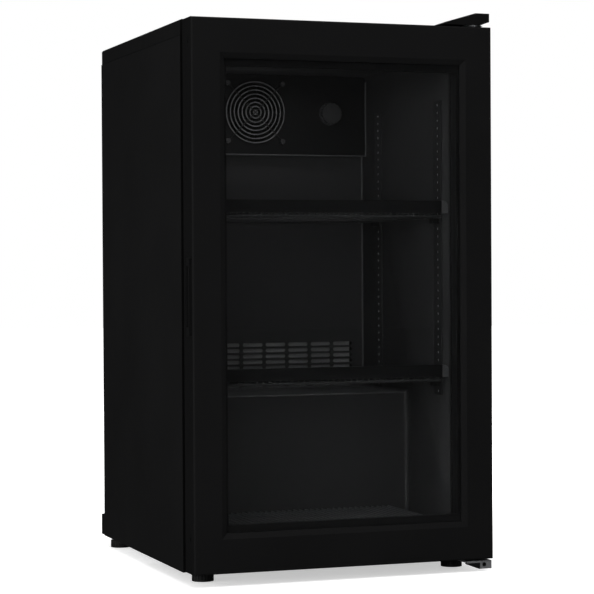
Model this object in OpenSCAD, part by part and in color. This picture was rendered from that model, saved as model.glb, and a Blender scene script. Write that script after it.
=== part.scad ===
// Countertop glass door merchandiser: an insulated cabinet with a hinged double-glazed door,
// two height-adjustable wire shelves and a floor rack, cooled by a fan-driven system whose
// compressor bay sits under a step at the rear of the interior.
// Frame: X to the right, Y to the back, Z up. The origin is on the floor, centred under the box.

/* [Cabinet] */
// Outer width of the cabinet and of the door
cabinet_w = 500; // [490:5:620]
// Height of the cabinet, without its feet
cabinet_h = 855; // [800:5:1040]
// Depth of the cabinet, without the door and the rear spacers
cabinet_d = 482; // [460:5:570]
// Thickness of the painted outer sheet
sheet_t = 0.8; // [0.6:0.1:1.2]
// Width of the fold at the front edge of each side panel
front_fold_w = 12; // [8:1:14]
// Height of the plastic top cover
top_cover_h = 26; // [20:1:32]
// Wall of the plastic top cover
top_cover_t = 2.5; // [2:0.5:4]
// How far the top cover stands in from the side panels
top_cover_inset = 1.2; // [0.6:0.2:3]
// Height of the raised field on the top cover
cover_field_h = 1; // [0.5:0.5:2]
// Distance from the edges of the top cover to that field
cover_field_margin = 22; // [15:1:35]

/* [Insulated interior] */
// Side wall, from the outer face to the face of the liner
side_wall_t = 40; // [33:1:46]
// Ceiling, from the top of the cover to the liner
ceiling_t = 44; // [40:1:56]
// Floor, from the underside of the cabinet to the liner
floor_t = 50; // [44:1:60]
// Rear wall, from the outer face to the liner
rear_wall_t = 45; // [38:1:54]
// Thickness of the formed inner liner
liner_t = 1.2; // [0.8:0.1:2]
// Thickness of the plastic frame around the front opening
breaker_t = 3; // [2:0.5:4]
// Depth of the step over the compressor bay, measured from the rear
step_d = 287; // [275:1:300]
// Height of the step, measured from the underside of the cabinet
step_h = 257; // [250:1:290]
// Insulated wall of the step
step_wall_t = 35; // [28:1:38]

/* [Air duct and fan panel] */
// Depth of the air duct, from the liner to the face of the duct panel
duct_d = 37; // [36:1:46]
// Thickness of the duct and fan panels
panel_t = 1.6; // [1.2:0.1:2.5]
// How far the fan panel stands in front of the duct panel
fan_panel_step = 19; // [16:1:26]
// Height of the fan panel
fan_panel_h = 141; // [136:1:170]
// Distance from the ceiling to the fan axis
fan_drop = 67; // [64:1:75]
// Distance from the middle to the thermostat knob
knob_x = 140; // [110:1:150]
// Diameter of the thermostat knob
knob_dia = 37; // [30:1:42]
// Slots across the louvre field
louvre_cols = 9; // [5:1:9]
// Rows in the louvre field
louvre_rows = 8; // [4:1:10]
// Spacing of the louvre columns
louvre_pitch_x = 42.6; // [40:0.2:44]
// Spacing of the louvre rows
louvre_pitch_z = 10.2; // [9:0.2:12]
// Length of one louvre slot
louvre_len = 37; // [30:1:38]
// Height of one louvre slot
louvre_slot_h = 6.4; // [4:0.2:7]

/* [Fans] */
// Side of the evaporator fan's frame
evap_fan_size = 119; // [98:1:119]
// Depth of the evaporator fan's frame
evap_fan_d = 25; // [22:1:26]
// Number of rings in the fan guard
guard_rings = 7; // [5:1:8]
// Distance from a fan frame's edges to its screw holes
fan_screw_inset = 9; // [6:0.5:9]
// Side of the condenser fan's frame
cond_fan_size = 152; // [130:1:160]
// Depth of the condenser fan's frame
cond_fan_d = 38; // [30:1:38]
// Diameter of both fan shafts
fan_shaft_dia = 5; // [4:0.5:6]

/* [Shelves] */
// Pitch of the holes in the shelf pilasters
pilaster_pitch = 12.7; // [12:0.1:16]
// Distance from the top of the pilasters to the ceiling, at least
pilaster_drop = 67; // [50:1:120]
// Width of a pilaster
pilaster_w = 30; // [24:1:34]
// How far a pilaster stands out from the side wall
pilaster_d = 2.5; // [2:0.5:4]
// Diameter of the pilaster holes
pilaster_hole_dia = 5; // [4:0.5:6]
// Hole that carries the upper shelf, counted from the bottom one as 0
upper_shelf_hole = 22; // [12:1:23]
// Hole that carries the lower shelf, counted from the bottom one as 0
lower_shelf_hole = 1; // [1:1:8]
// Diameter of the shelf's filling wires
fill_wire_dia = 3; // [2.5:0.5:4]
// Diameter of the shelf's frame wires
frame_wire_dia = 5; // [4:0.5:6]
// Spacing of the filling wires
wire_pitch = 10; // [10:1:20]
// Height of the price rail on each shelf's front edge
price_rail_h = 20; // [16:1:26]
// How high the floor rack stands
floor_rack_h = 16; // [12:1:24]

/* [Door] */
// Thickness of the door
door_t = 46; // [44:1:54]
// Gap between the door and the cabinet, bridged by the gasket
door_gap = 14; // [13:1:18]
// How far the door starts above the underside of the cabinet
door_z_inset = 3; // [2:0.5:6]
// Flat width of the door's sides
stile_w = 45; // [44:1:60]
// Flat width of the door's top and bottom
rail_w = 53; // [44:1:70]
// Width of the bevel that leads to the glass
bevel_w = 8.5; // [5:0.5:10]
// Depth of that bevel
bevel_d = 5; // [3:0.5:5]
// How far the glass lies behind the door's front face
glass_recess = 7; // [6:0.5:9]
// Thickness of each pane
pane_t = 4; // [3:0.5:4]
// Space between the two panes
pane_gap = 12; // [9:1:12]
// Radius of the door's front edges
door_edge_r = 3; // [1.5:0.5:5]
// Plastic wall of the door frame
door_wall_t = 3; // [2.5:0.5:3.5]
// Height of the recessed grip in the door's edge
grip_h = 118; // [100:1:160]
// Height of the grip's middle above the bottom of the door
grip_z = 423; // [380:1:460]
// How far the grip is recessed
grip_depth = 24; // [18:1:28]

/* [Hinges] */
// Distance from the door's right edge to the hinge axis
hinge_inset_x = 18; // [17:1:20]
// Diameter of both hinge pins
hinge_pin_dia = 8; // [6:0.5:10]
// Thickness of the hinge plates
hinge_plate_t = 3; // [2.5:0.5:4]
// Height of the hinge cap above the cabinet
hinge_cap_h = 19; // [16:1:24]

/* [Feet and spacers] */
// Height of a foot that is screwed right in
foot_h = 17; // [15:1:30]
// Diameter of a foot's pad
foot_dia = 34.5; // [28:0.5:38]
// Diameter of a foot's threaded stud
foot_stud_dia = 8; // [6:1:10]
// Depth of the spacers that keep the rear off a wall
rear_spacer_d = 22; // [15:1:30]

/* [Running fits] */
// Radial clearance of shafts, pins and studs in their bores
run_gap = 0.05; // [0.03:0.01:0.08]
// Clearance between pieces that are only placed together
place_gap = 0.3; // [0.2:0.05:0.4]

/* [Hidden] */
$fn = 64;

// Colours
coat_black = [0.09, 0.09, 0.09];
plastic_black = [0.12, 0.12, 0.12];
liner_black = [0.16, 0.16, 0.17];
foam_cream = [0.88, 0.82, 0.62];
foam_white = [0.92, 0.92, 0.9];
zinc = [0.72, 0.73, 0.74];
steel = [0.62, 0.63, 0.65];
copper = [0.72, 0.42, 0.24];
rubber_black = [0.06, 0.06, 0.06];

// Outer faces
half_w = cabinet_w / 2;
total_d = door_t + door_gap + cabinet_d + rear_spacer_d;
y_door = -total_d / 2;
y_door_back = y_door + door_t;
y_front = y_door_back + door_gap;
y_back = y_front + cabinet_d;
z_bot = foot_h;
z_top = z_bot + cabinet_h;
z_cover = z_top - top_cover_h;
x_sheet = half_w - sheet_t;

// Interior faces
x_in = half_w - side_wall_t;
z_floor = z_bot + floor_t;
z_ceil = z_top - ceiling_t;
y_liner = y_back - rear_wall_t;
y_duct = y_liner - duct_d;
y_fan = y_duct - fan_panel_step;
y_step = y_back - step_d;
z_step = z_bot + step_h;

// Compressor bay
y_bay = y_step + step_wall_t;
z_bay = z_step - step_wall_t;
pan_t = 1;
base_t = 2;
z_base = z_bot + base_t;
compressor_x = 110;
compressor_y = y_bay + 122;
compressor_r = 72;
compressor_z0 = z_base + 17;
compressor_h = 146;
dome_r = 120;
bracket_hole_x = 82;
bracket_hole_y = 52;
cond_x = -130;
cond_z = z_base + 109;
cond_d = 38;
cond_z1 = z_base + 182;
cond_rows = 5;
tube_end = 8;
evap_x = x_in - 30;
evap_d = 25;
evap_z0 = z_ceil - fan_panel_h + 16;
evap_z1 = z_ceil - 12;
evap_rows = 4;
grille_t = 1;
grille_set = 1;
grille_screw_x = x_sheet - 10;
grille_screws_z = [z_bot + 46, z_bay - 14];
guard_eye_t = 4;
guard_screw_off = evap_fan_size / 2 - fan_screw_inset;
guard_dia = evap_fan_size - 12;
fan_frame_rim = 13;
fan_tip_gap = 2;
cond_fan_y = y_back - 57 - cond_fan_d;
coil_y = y_back - 52;
drain_x = compressor_x;
drain_y = y_duct + 13;
drain_dia = 12;
tray_z = compressor_z0 + compressor_h + place_gap;
suction_x = x_in - 13;
suction_y = y_liner - evap_d / 2;
line_dia = 8;

// Foam
foam_front = y_front + breaker_t;
foam_back = y_back - sheet_t;
foam_x = x_in + liner_t;
foam_top = z_top - top_cover_t - hinge_plate_t;

// Door
z_door0 = z_bot + door_z_inset;
z_door1 = z_top - door_z_inset;
x_lip = half_w - stile_w - bevel_w;
z_lip0 = z_door0 + rail_w + bevel_w;
z_lip1 = z_door1 - rail_w - bevel_w;
pane_overlap = 10;
x_pane = x_lip + pane_overlap;
z_pane0 = z_lip0 - pane_overlap;
z_pane1 = z_lip1 + pane_overlap;
y_glass = y_door + glass_recess;
y_rear_pane = y_glass + pane_t + pane_gap;
y_glazed = y_rear_pane + pane_t;
x_pocket = x_pane + 1;
x_cavity = x_pocket + door_wall_t;
inner_plate_t = 4;
spacer_reveal_x = 4.5;
spacer_reveal_z = 11.5;

// Hinge
hinge_x = half_w - hinge_inset_x;
hinge_y = y_door + door_t / 2;
bush_dia = hinge_pin_dia + 6;
bush_depth = 20;
cap_x0 = hinge_x - 62;
cap_x1 = half_w - 2;
cap_y0 = y_door + 3;
cap_y1 = y_front + 58;
cap_t = 2;
gasket_out = hinge_x + 4;
gasket_w = 20;
gasket_gap = 0.6;

// Feet
foot_front = [half_w - 38, y_front + 20];
foot_rear = [half_w - 21, y_back - 32];
socket_dia = 16;
socket_h = 32;
stud_len = 30;
travel_gap = 0.05;

// Grip in the door's left edge
grip_mid = z_door0 + grip_z;
grip_y0 = y_door + 6.5;
grip_y1 = y_door_back - 10;
grip_wall = 2;

// Shelves
pilaster_z0 = z_step + 3;
hole_margin = 6.6;
pilaster_holes = floor((z_ceil - pilaster_drop - pilaster_z0 - 2 * hole_margin) / pilaster_pitch) + 1;
pilaster_len = 2 * hole_margin + (pilaster_holes - 1) * pilaster_pitch;
pilaster_front_y = y_front + 62;
pilaster_rear_y = y_duct - 80;
clip_rise = 4;
clip_w = 12;
shelf_x = x_in - pilaster_d - 6;
shelf_y0 = y_front + 26;
shelf_y1 = y_duct - 9;
frame_rise = clip_rise + place_gap + frame_wire_dia / 2;
fill_rise = frame_rise + frame_wire_dia / 2 + fill_wire_dia / 2 - 0.6;
rack_x = x_in - 34;
rack_y0 = y_front + 10;
rack_y1 = y_step - 5;

// Helpers

// A box between two corners
module box(x0, x1, y0, y1, z0, z1) {
    translate([x0, y0, z0]) cube([x1 - x0, y1 - y0, z1 - z0]);
}

// An outline in Y and Z, swept along X
module along_x(x0, x1) {
    translate([x0, 0, 0]) rotate([90, 0, 90]) linear_extrude(x1 - x0) children();
}

// An outline in X and Z, swept along Y
module along_y(y0, y1) {
    translate([0, y1, 0]) rotate([90, 0, 0]) linear_extrude(y1 - y0) children();
}

// An outline in X and Y, swept along Z
module along_z(z0, z1) {
    translate([0, 0, z0]) linear_extrude(z1 - z0) children();
}

module rod_x(x0, x1, y, z, dia) {
    translate([x0, y, z]) rotate([0, 90, 0]) cylinder(d = dia, h = x1 - x0);
}

module rod_y(x, y0, y1, z, dia) {
    translate([x, y0, z]) rotate([-90, 0, 0]) cylinder(d = dia, h = y1 - y0);
}

module rod_z(x, y, z0, z1, dia) {
    translate([x, y, z0]) cylinder(d = dia, h = z1 - z0);
}

module both_sides() {
    children();
    mirror([1, 0, 0]) children();
}

// A rectangle whose two corners on its low second side are rounded
module rounded_low(a0, a1, b0, b1, r) {
    translate([a0, b0 + r]) square([a1 - a0, b1 - b0 - r]);
    translate([a0 + r, b0]) square([a1 - a0 - 2 * r, b1 - b0]);
    for (a = [a0 + r, a1 - r]) translate([a, b0 + r]) circle(r);
}

// A rectangle with straight sides and round ends along its first axis
module slot_outline(len, h) {
    translate([-(len - h) / 2, -h / 2]) square([len - h, h]);
    for (s = [-1, 1]) translate([s * (len - h) / 2, 0]) circle(d = h);
}

// A rectangular ring that stands in the XZ plane
module frame_ring(x_out, z0_out, z1_out, x_inner, z0_inner, z1_inner, y0, y1) {
    difference() {
        box(-x_out, x_out, y0, y1, z0_out, z1_out);
        box(-x_inner, x_inner, y0 - 1, y1 + 1, z0_inner, z1_inner);
    }
}

// A round-headed screw along +Y, with its head on the plane y
module screw_y(x, y, z, dia, len) {
    head_t = dia * 0.5;
    rod_y(x, y - head_t, y, z, dia * 2);
    rod_y(x, y - 0.01, y + len, z, dia);
}

// The same screw along -Z, with its head on the plane z
module screw_down(x, y, z, dia, len) {
    rod_z(x, y, z - 0.01, z + dia * 0.5, dia * 2);
    rod_z(x, y, z - len, z, dia);
}

function shelf_z(hole) = pilaster_z0 + hole_margin + hole * pilaster_pitch;

// Cabinet shell

// A flat sheet with a fold at the front, and a tab at the rear that the grille screws to
module side_panel() {
    tab_y = y_back - grille_set - grille_t;
    color(coat_black) difference() {
        union() {
            along_z(z_bot, z_cover) {
                translate([x_sheet, y_front]) square([sheet_t, cabinet_d]);
                translate([half_w - front_fold_w, y_front]) square([front_fold_w, sheet_t]);
            }
            box(x_sheet - 18, half_w, tab_y - sheet_t, tab_y, z_bot, z_bay);
        }
        grille_screw_holes();
    }
}

module left_side_panel() mirror([1, 0, 0]) side_panel();

module right_side_panel() side_panel();

module rear_panel() {
    color(coat_black) box(-x_sheet, x_sheet, foam_back, y_back, z_bay, z_cover);
}

// Tray-shaped cover, open below, with rounded upper edges and a raised field behind the hinge
module top_cover() {
    edge_r = 4;
    cover_x = half_w - top_cover_inset;
    field_x = cover_x - cover_field_margin;
    color(coat_black) difference() {
        union() {
            intersection() {
                along_y(y_front, y_back) mirror([0, 1])
                    rounded_low(-cover_x, cover_x, -z_top, -z_cover, edge_r);
                along_x(-cover_x, cover_x) mirror([0, 1])
                    rounded_low(y_front, y_back, -z_top, -z_cover, edge_r);
            }
            box(-field_x, field_x, cap_y1 + 8, y_back - cover_field_margin, z_top - 1,
                z_top + cover_field_h);
        }
        box(-cover_x + top_cover_t, cover_x - top_cover_t, y_front + top_cover_t,
            y_back - top_cover_t, z_cover - 1, z_top - top_cover_t);
        top_hinge_screw_holes();
    }
}

// Flat floor of the cabinet with a fold up at the front
module base_pan() {
    color(coat_black) difference() {
        union() {
            box(-x_sheet, x_sheet, y_front + sheet_t, y_bay - pan_t, z_bot, z_bot + pan_t);
            box(-half_w + front_fold_w, half_w - front_fold_w, y_front, y_front + pan_t,
                z_bot, z_floor - 22);
            both_sides() foot_sleeve(foot_front, z_bot);
        }
        both_sides() foot_bore(foot_front, z_bot);
        bracket_screw_holes(z_bot - 1, z_bot + 2);
    }
}

// Sleeve welded over a foot hole, and the bore through both
module foot_sleeve(place, z) {
    rod_z(place[0], place[1], z, z + socket_h, socket_dia);
}

module foot_bore(place, z) {
    rod_z(place[0], place[1], z - 1, z + socket_h + 5, foot_stud_dia + 2 * run_gap);
}

// Riser and ceiling of the compressor bay
module bay_panel() {
    color(zinc) difference() {
        union() {
            box(-x_sheet, x_sheet, y_bay - pan_t, y_bay, z_bot, z_bay);
            box(-x_sheet, x_sheet, y_bay - pan_t, foam_back, z_bay, z_bay + pan_t);
        }
        bay_pass_holes(z_bay - 1, z_bay + 2);
    }
}

// Drain and suction line pass through the step
module bay_pass_holes(z0, z1) {
    rod_z(drain_x, drain_y, z0, z1, drain_dia + 1);
    rod_z(suction_x, suction_y, z0, z1, line_dia + 1);
}

// Insulation

module side_insulation() {
    color(foam_cream) difference() {
        along_x(foam_x, x_sheet) polygon([
            [foam_front, z_bot + pan_t], [y_bay - pan_t, z_bot + pan_t],
            [y_bay - pan_t, z_bay + pan_t], [foam_back, z_bay + pan_t],
            [foam_back, z_ceil + liner_t], [foam_front, z_ceil + liner_t]
        ]);
        rod_z(foot_front[0], foot_front[1], z_bot, z_bot + socket_h + place_gap,
              socket_dia + 2 * place_gap);
        bracket_screw_holes(z_bot, z_bot + 11);
    }
}

module insulation_left() mirror([1, 0, 0]) side_insulation();

module insulation_right() side_insulation();

module insulation_top() {
    top_x = half_w - top_cover_inset - top_cover_t - place_gap;
    color(foam_cream) difference() {
        box(-top_x, top_x, foam_front, y_back - top_cover_t - place_gap, z_ceil + liner_t,
            foam_top);
        top_hinge_screw_holes();
    }
}

module insulation_rear() {
    color(foam_cream)
        box(-foam_x, foam_x, y_liner + liner_t, foam_back, z_bay + pan_t, z_ceil + liner_t);
}

module insulation_floor() {
    color(foam_cream) difference() {
        along_x(-foam_x, foam_x) polygon([
            [foam_front, z_bot + pan_t], [y_bay - pan_t, z_bot + pan_t],
            [y_bay - pan_t, z_bay + pan_t], [y_liner + liner_t, z_bay + pan_t],
            [y_liner + liner_t, z_step - liner_t], [y_step + liner_t, z_step - liner_t],
            [y_step + liner_t, z_floor - liner_t], [foam_front, z_floor - liner_t]
        ]);
        both_sides() rod_z(foot_front[0], foot_front[1], z_bot,
                           z_bot + socket_h + place_gap, socket_dia + 2 * place_gap);
        bay_pass_holes(z_bay, z_step);
    }
}

// Outline of the interior seen from the side, grown by a margin
module interior_outline(m, y_open) {
    polygon([
        [y_open, z_floor - m], [y_step + m, z_floor - m], [y_step + m, z_step - m],
        [y_liner + m, z_step - m], [y_liner + m, z_ceil + m], [y_open, z_ceil + m]
    ]);
}

module inner_liner() {
    color(liner_black) difference() {
        along_x(-x_in - liner_t, x_in + liner_t) interior_outline(liner_t, foam_front);
        along_x(-x_in, x_in) interior_outline(0, foam_front - 1);
        bay_pass_holes(z_step - 3, z_step + 1);
    }
}

module breaker_frame() {
    color(plastic_black)
        frame_ring(half_w - front_fold_w, z_floor - 22, z_cover, x_in, z_floor, z_ceil,
                   y_front, y_front + breaker_t);
}

// Air duct

module duct_panel() {
    field_top = z_step + 81;
    color(liner_black) difference() {
        box(-x_in + place_gap, x_in - place_gap, y_duct, y_duct + panel_t, z_step + place_gap,
            z_ceil - fan_panel_h);
        for (i = [0 : louvre_cols - 1], j = [0 : louvre_rows - 1])
            translate([(i - (louvre_cols - 1) / 2) * louvre_pitch_x, 0,
                       field_top - louvre_slot_h / 2 - j * louvre_pitch_z])
                along_y(y_duct - 1, y_duct + panel_t + 1)
                    slot_outline(louvre_len, louvre_slot_h);
    }
}

// Moulded white foam that shapes the duct, with an air channel in its back
module duct_insert() {
    top = z_ceil - fan_panel_h - 2;
    color(foam_white) difference() {
        box(-x_in + 20, x_in - 25, y_duct + panel_t + 4, y_liner - place_gap,
            z_step + 2, top);
        box(-x_in + 50, x_in - 55, y_duct + panel_t + 16, y_liner + 1, z_step - 1, top + 1);
        rod_z(drain_x, drain_y, z_step, z_step + 20, drain_dia + 10);
    }
}

module fan_panel() {
    fan_z = z_ceil - fan_drop;
    z0 = z_ceil - fan_panel_h;
    px = x_in - place_gap;
    color(plastic_black) difference() {
        union() {
            box(-px, px, y_fan, y_fan + panel_t, z0, z_ceil - place_gap);
            box(-px, px, y_fan, y_duct + panel_t, z0, z0 + panel_t);
        }
        rod_y(0, y_fan - 1, y_fan + panel_t + 1, fan_z, evap_fan_size - fan_frame_rim - 2 * fan_tip_gap);
        rod_y(knob_x, y_fan - 1, y_fan + panel_t + 1, fan_z, 12);
        fan_screw_places() rod_y(0, y_fan - 1, y_fan + panel_t + 1, 0, 4.4);
    }
}

module fan_screw_places() {
    for (sx = [-1, 1], sz = [-1, 1])
        translate([sx * guard_screw_off, 0, z_ceil - fan_drop + sz * guard_screw_off])
            children();
}

// Screws of the fan guard and the rear grille
module panel_screws() {
    color(zinc) {
        fan_screw_places() screw_y(0, y_fan - guard_eye_t - 0.1, 0, 4, 16);
        both_sides() for (z = grille_screws_z)
            translate([0, 2 * (y_back - 0.9), 0]) mirror([0, 1, 0])
                screw_y(grille_screw_x, y_back - 0.9, z, 4, 7);
    }
}

// Evaporator: fins on a serpentine of tubes
module evaporator_coil() {
    color(steel)
        fin_coil(-evap_x, evap_x, y_liner - evap_d, y_liner, evap_z0, evap_z1, 20, evap_rows, 1);
}

function row_z(z0, z1, rows, j) = z0 + (j + 0.5) * (z1 - z0) / rows;

// A block of upright fins with straight tubes through it
module fin_coil(x0, x1, y0, y1, z0, z1, fins, rows, tube_cols) {
    fin_t = 1.2;
    pitch = (x1 - x0 - fin_t) / (fins - 1);
    for (i = [0 : fins - 1])
        box(x0 + i * pitch, x0 + i * pitch + fin_t, y0, y1, z0, z1);
    for (j = [0 : rows - 1], k = [0 : tube_cols - 1])
        rod_x(x0 - tube_end, x1 + tube_end, y0 + (k + 0.5) * (y1 - y0) / tube_cols,
              row_z(z0, z1, rows, j), line_dia);
}

// A square fan frame around a round air way, with the motor held by four struts at the back
module fan_frame(size, depth, motor_dia) {
    ring_dia = size - fan_frame_rim;
    difference() {
        box(-size / 2, size / 2, 0, depth, -size / 2, size / 2);
        rod_y(0, -1, depth + 1, 0, ring_dia);
        for (sx = [-1, 1], sz = [-1, 1])
            rod_y(sx * (size / 2 - fan_screw_inset), -1, depth + 1,
                  sz * (size / 2 - fan_screw_inset), 4.4);
    }
    difference() {
        union() {
            rod_y(0, depth - 8, depth, 0, motor_dia);
            for (a = [0, 90]) rotate([0, a, 0])
                box(-ring_dia / 2 - 1, ring_dia / 2 + 1, depth - 5, depth - 1, -3, 3);
        }
        rod_y(0, depth - 9, depth + 1, 0, fan_shaft_dia + 2 * run_gap);
    }
}

// Hub with a bore, and flat pitched blades
module fan_rotor(dia, depth, hub_dia, blades) {
    blade_t = 1.6;
    difference() {
        union() {
            rod_y(0, 0, depth, 0, hub_dia);
            intersection() {
                rod_y(0, 0, depth, 0, dia);
                for (i = [0 : blades - 1]) rotate([0, i * 360 / blades, 0])
                    translate([0, depth / 2, 0]) rotate([0, 0, 32])
                        box(-depth * 0.7, depth * 0.7, -blade_t / 2, blade_t / 2,
                            hub_dia / 4, dia);
            }
        }
        rod_y(0, -1, depth + 1, 0, fan_shaft_dia + 2 * run_gap);
    }
}

module evaporator_fan_frame() {
    color(plastic_black) translate([0, y_fan + panel_t, z_ceil - fan_drop])
        fan_frame(evap_fan_size, evap_fan_d, 38);
}

module evaporator_fan_rotor() {
    color(plastic_black) translate([0, y_fan + panel_t + 1, z_ceil - fan_drop])
        fan_rotor(evap_fan_size - fan_frame_rim - 2 * fan_tip_gap, evap_fan_d - 10, 38, 7);
}

module fan_shafts() {
    color(steel) {
        rod_y(0, y_fan + panel_t + 1, y_fan + panel_t + evap_fan_d - 1, z_ceil - fan_drop,
              fan_shaft_dia);
        rod_y(cond_x, cond_fan_y + 1, cond_fan_y + cond_fan_d - 1, cond_z, fan_shaft_dia);
    }
}

// Wire guard: concentric rings on two crossed wires that end in screw eyes
module fan_guard() {
    wire_d = 2;
    core_r = 10.3;
    ring_pitch = (guard_dia / 2 - core_r) / (guard_rings - 1);
    eye_r = guard_screw_off * sqrt(2);
    color(zinc) translate([0, y_fan - 3.2, z_ceil - fan_drop]) {
        for (i = [0 : guard_rings - 1])
            rotate([90, 0, 0]) rotate_extrude()
                translate([guard_dia / 2 - i * ring_pitch, 0]) circle(d = wire_d);
        for (a = [45, 135, 225, 315]) rotate([0, a, 0]) {
            rod_x(3, eye_r - 3.4, 1.2, 0, wire_d);
            translate([eye_r, 0, 0]) difference() {
                rod_y(0, 3.2 - guard_eye_t, 3.2, 0, 9);
                rod_y(0, -2, 4, 0, 4.3);
            }
        }
        rod_y(0, -0.4, 1.8, 0, 9);
    }
}

// Thermostat

module thermostat_body() {
    fan_z = z_ceil - fan_drop;
    color(plastic_black) {
        box(knob_x - 20, knob_x + 20, y_fan + panel_t, y_fan + panel_t + 26, fan_z - 16,
            fan_z + 16);
        rod_y(knob_x, y_fan - 11, y_fan + panel_t + 1, fan_z, 6);
    }
}

// Scalloped knob with a bore for the spindle
module thermostat_knob() {
    fan_z = z_ceil - fan_drop;
    color(plastic_black) difference() {
        union() {
            rod_y(knob_x, y_fan - 14, y_fan - 0.5, fan_z, knob_dia);
            rod_y(knob_x, y_fan - 4, y_fan - 0.5, fan_z, knob_dia + 3);
        }
        for (i = [0 : 17])
            translate([knob_x, 0, fan_z]) rotate([0, i * 20, 0])
                rod_y(knob_dia / 2 + 0.6, y_fan - 15, y_fan - 4, 0, 4);
        rod_y(knob_x, y_fan - 12, y_fan, fan_z, 6 + 2 * run_gap);
        box(knob_x - 0.8, knob_x + 0.8, y_fan - 15, y_fan - 13.2, fan_z + 4,
            fan_z + knob_dia / 2 - 3);
    }
}

// Shelving

// A channel with one column of round holes, against the right-hand wall
module pilaster(y) {
    web_t = 1.2;
    difference() {
        along_z(pilaster_z0, pilaster_z0 + pilaster_len) {
            translate([x_in - pilaster_d, y - pilaster_w / 2]) square([web_t, pilaster_w]);
            for (s = [y - pilaster_w / 2, y + pilaster_w / 2 - web_t])
                translate([x_in - pilaster_d, s]) square([pilaster_d, web_t]);
        }
        for (i = [0 : pilaster_holes - 1])
            rod_x(x_in - pilaster_d - 1, x_in + 1, y, shelf_z(i), pilaster_hole_dia);
    }
}

module pilasters() {
    color(liner_black) both_sides() {
        pilaster(pilaster_front_y);
        pilaster(pilaster_rear_y);
    }
}

// Pale strips that back the holes
module pilaster_strips() {
    color(foam_white) both_sides() for (y = [pilaster_front_y, pilaster_rear_y])
        difference() {
            box(x_in - 1, x_in, y - 6, y + 6, pilaster_z0 + 1, pilaster_z0 + pilaster_len - 1);
            clip_tongues(1);
        }
}

module clip_tongues(grow) {
    for (h = [upper_shelf_hole, lower_shelf_hole], y = [pilaster_front_y, pilaster_rear_y])
        rod_x(x_in - pilaster_d - 1, x_in - 0.4, y, shelf_z(h), pilaster_hole_dia - 0.4 + grow);
}

// Clips that plug into the holes and carry the shelves
module shelf_clips() {
    color(zinc) both_sides() {
        clip_tongues(0);
        for (h = [upper_shelf_hole, lower_shelf_hole], y = [pilaster_front_y, pilaster_rear_y])
            box(shelf_x - frame_wire_dia - 1, x_in - pilaster_d - 0.1, y - clip_w / 2,
                y + clip_w / 2, shelf_z(h) - 4, shelf_z(h) + clip_rise);
    }
}

// Wires welded on a rectangular frame, with an upstand that carries the price rail
module wire_shelf(z) {
    zf = z + frame_rise;
    zw = z + fill_rise;
    side_x = shelf_x - frame_wire_dia / 2;
    count = floor(2 * (side_x - 6) / wire_pitch);
    for (y = [shelf_y0 + 4, 0.5 * (shelf_y0 + shelf_y1), shelf_y1 - 4])
        rod_x(-side_x - 1, side_x + 1, y, zf, frame_wire_dia);
    for (x = [-side_x, side_x]) rod_y(x, shelf_y0, shelf_y1, zf, frame_wire_dia);
    for (i = [0 : count])
        rod_y((i - count / 2) * wire_pitch, shelf_y0, shelf_y1, zw, fill_wire_dia);
    for (x = [-side_x + 8, -side_x / 2.1, side_x / 2.1, side_x - 8])
        rod_z(x, shelf_y0 + 4, zf, zw + price_rail_h - 3, fill_wire_dia);
}

// Channel that hooks over the upstand, closed at the front and top
module price_rail(z) {
    z0 = z + fill_rise + fill_wire_dia / 2 + place_gap;
    rail_x = x_in - 0.5;
    wall = 1.5;
    end_r = 8;
    color(plastic_black) difference() {
        along_y(shelf_y0 - 2, shelf_y0 + 8) mirror([0, 1])
            rounded_low(-rail_x, rail_x, -z0 - price_rail_h, -z0, end_r);
        along_x(-rail_x - 1, rail_x + 1) polygon([
            [shelf_y0 - 2 + wall, z0 - 1], [shelf_y0 + 9, z0 - 1],
            [shelf_y0 + 9, z0 + price_rail_h - 6], [shelf_y0 + 8 - wall, z0 + price_rail_h - 6],
            [shelf_y0 + 8 - wall, z0 + price_rail_h - wall],
            [shelf_y0 - 2 + wall, z0 + price_rail_h - wall]
        ]);
    }
}

module upper_shelf() color(coat_black) wire_shelf(shelf_z(upper_shelf_hole));

module upper_price_rail() price_rail(shelf_z(upper_shelf_hole));

module lower_shelf() color(coat_black) wire_shelf(shelf_z(lower_shelf_hole));

module lower_price_rail() price_rail(shelf_z(lower_shelf_hole));

// Wire rack that stands on the floor of the interior
module floor_rack() {
    zf = z_floor + floor_rack_h - fill_wire_dia - frame_wire_dia / 2 + 0.6;
    zw = z_floor + floor_rack_h - fill_wire_dia / 2;
    count = floor(2 * (rack_x - 4) / wire_pitch);
    leg_x = rack_x - 12;
    color(coat_black) {
        for (y = [rack_y0 + 6, 0.5 * (rack_y0 + rack_y1), rack_y1 - 6])
            rod_x(-rack_x, rack_x, y, zf, frame_wire_dia);
        for (i = [0 : count])
            rod_y((i - count / 2) * wire_pitch, rack_y0, rack_y1, zw, fill_wire_dia);
        for (x = [-leg_x, leg_x], y = [rack_y0 + 6, rack_y1 - 6])
            rod_z(x, y, z_floor + place_gap, zf, frame_wire_dia + 2);
    }
}

// Compressor bay

// Floor of the bay, with folds up at the sides
module bay_base_plate() {
    plate_x = x_sheet - place_gap;
    plate_y = y_back - grille_set - grille_t - sheet_t - place_gap;
    color(zinc) difference() {
        union() {
            box(-plate_x, plate_x, y_bay + place_gap, plate_y, z_bot, z_base);
            both_sides() box(plate_x - base_t, plate_x, y_bay + place_gap, plate_y,
                             z_bot, z_bot + 14);
            both_sides() foot_sleeve(foot_rear, z_bot);
        }
        both_sides() foot_bore(foot_rear, z_bot);
    }
}

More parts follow.
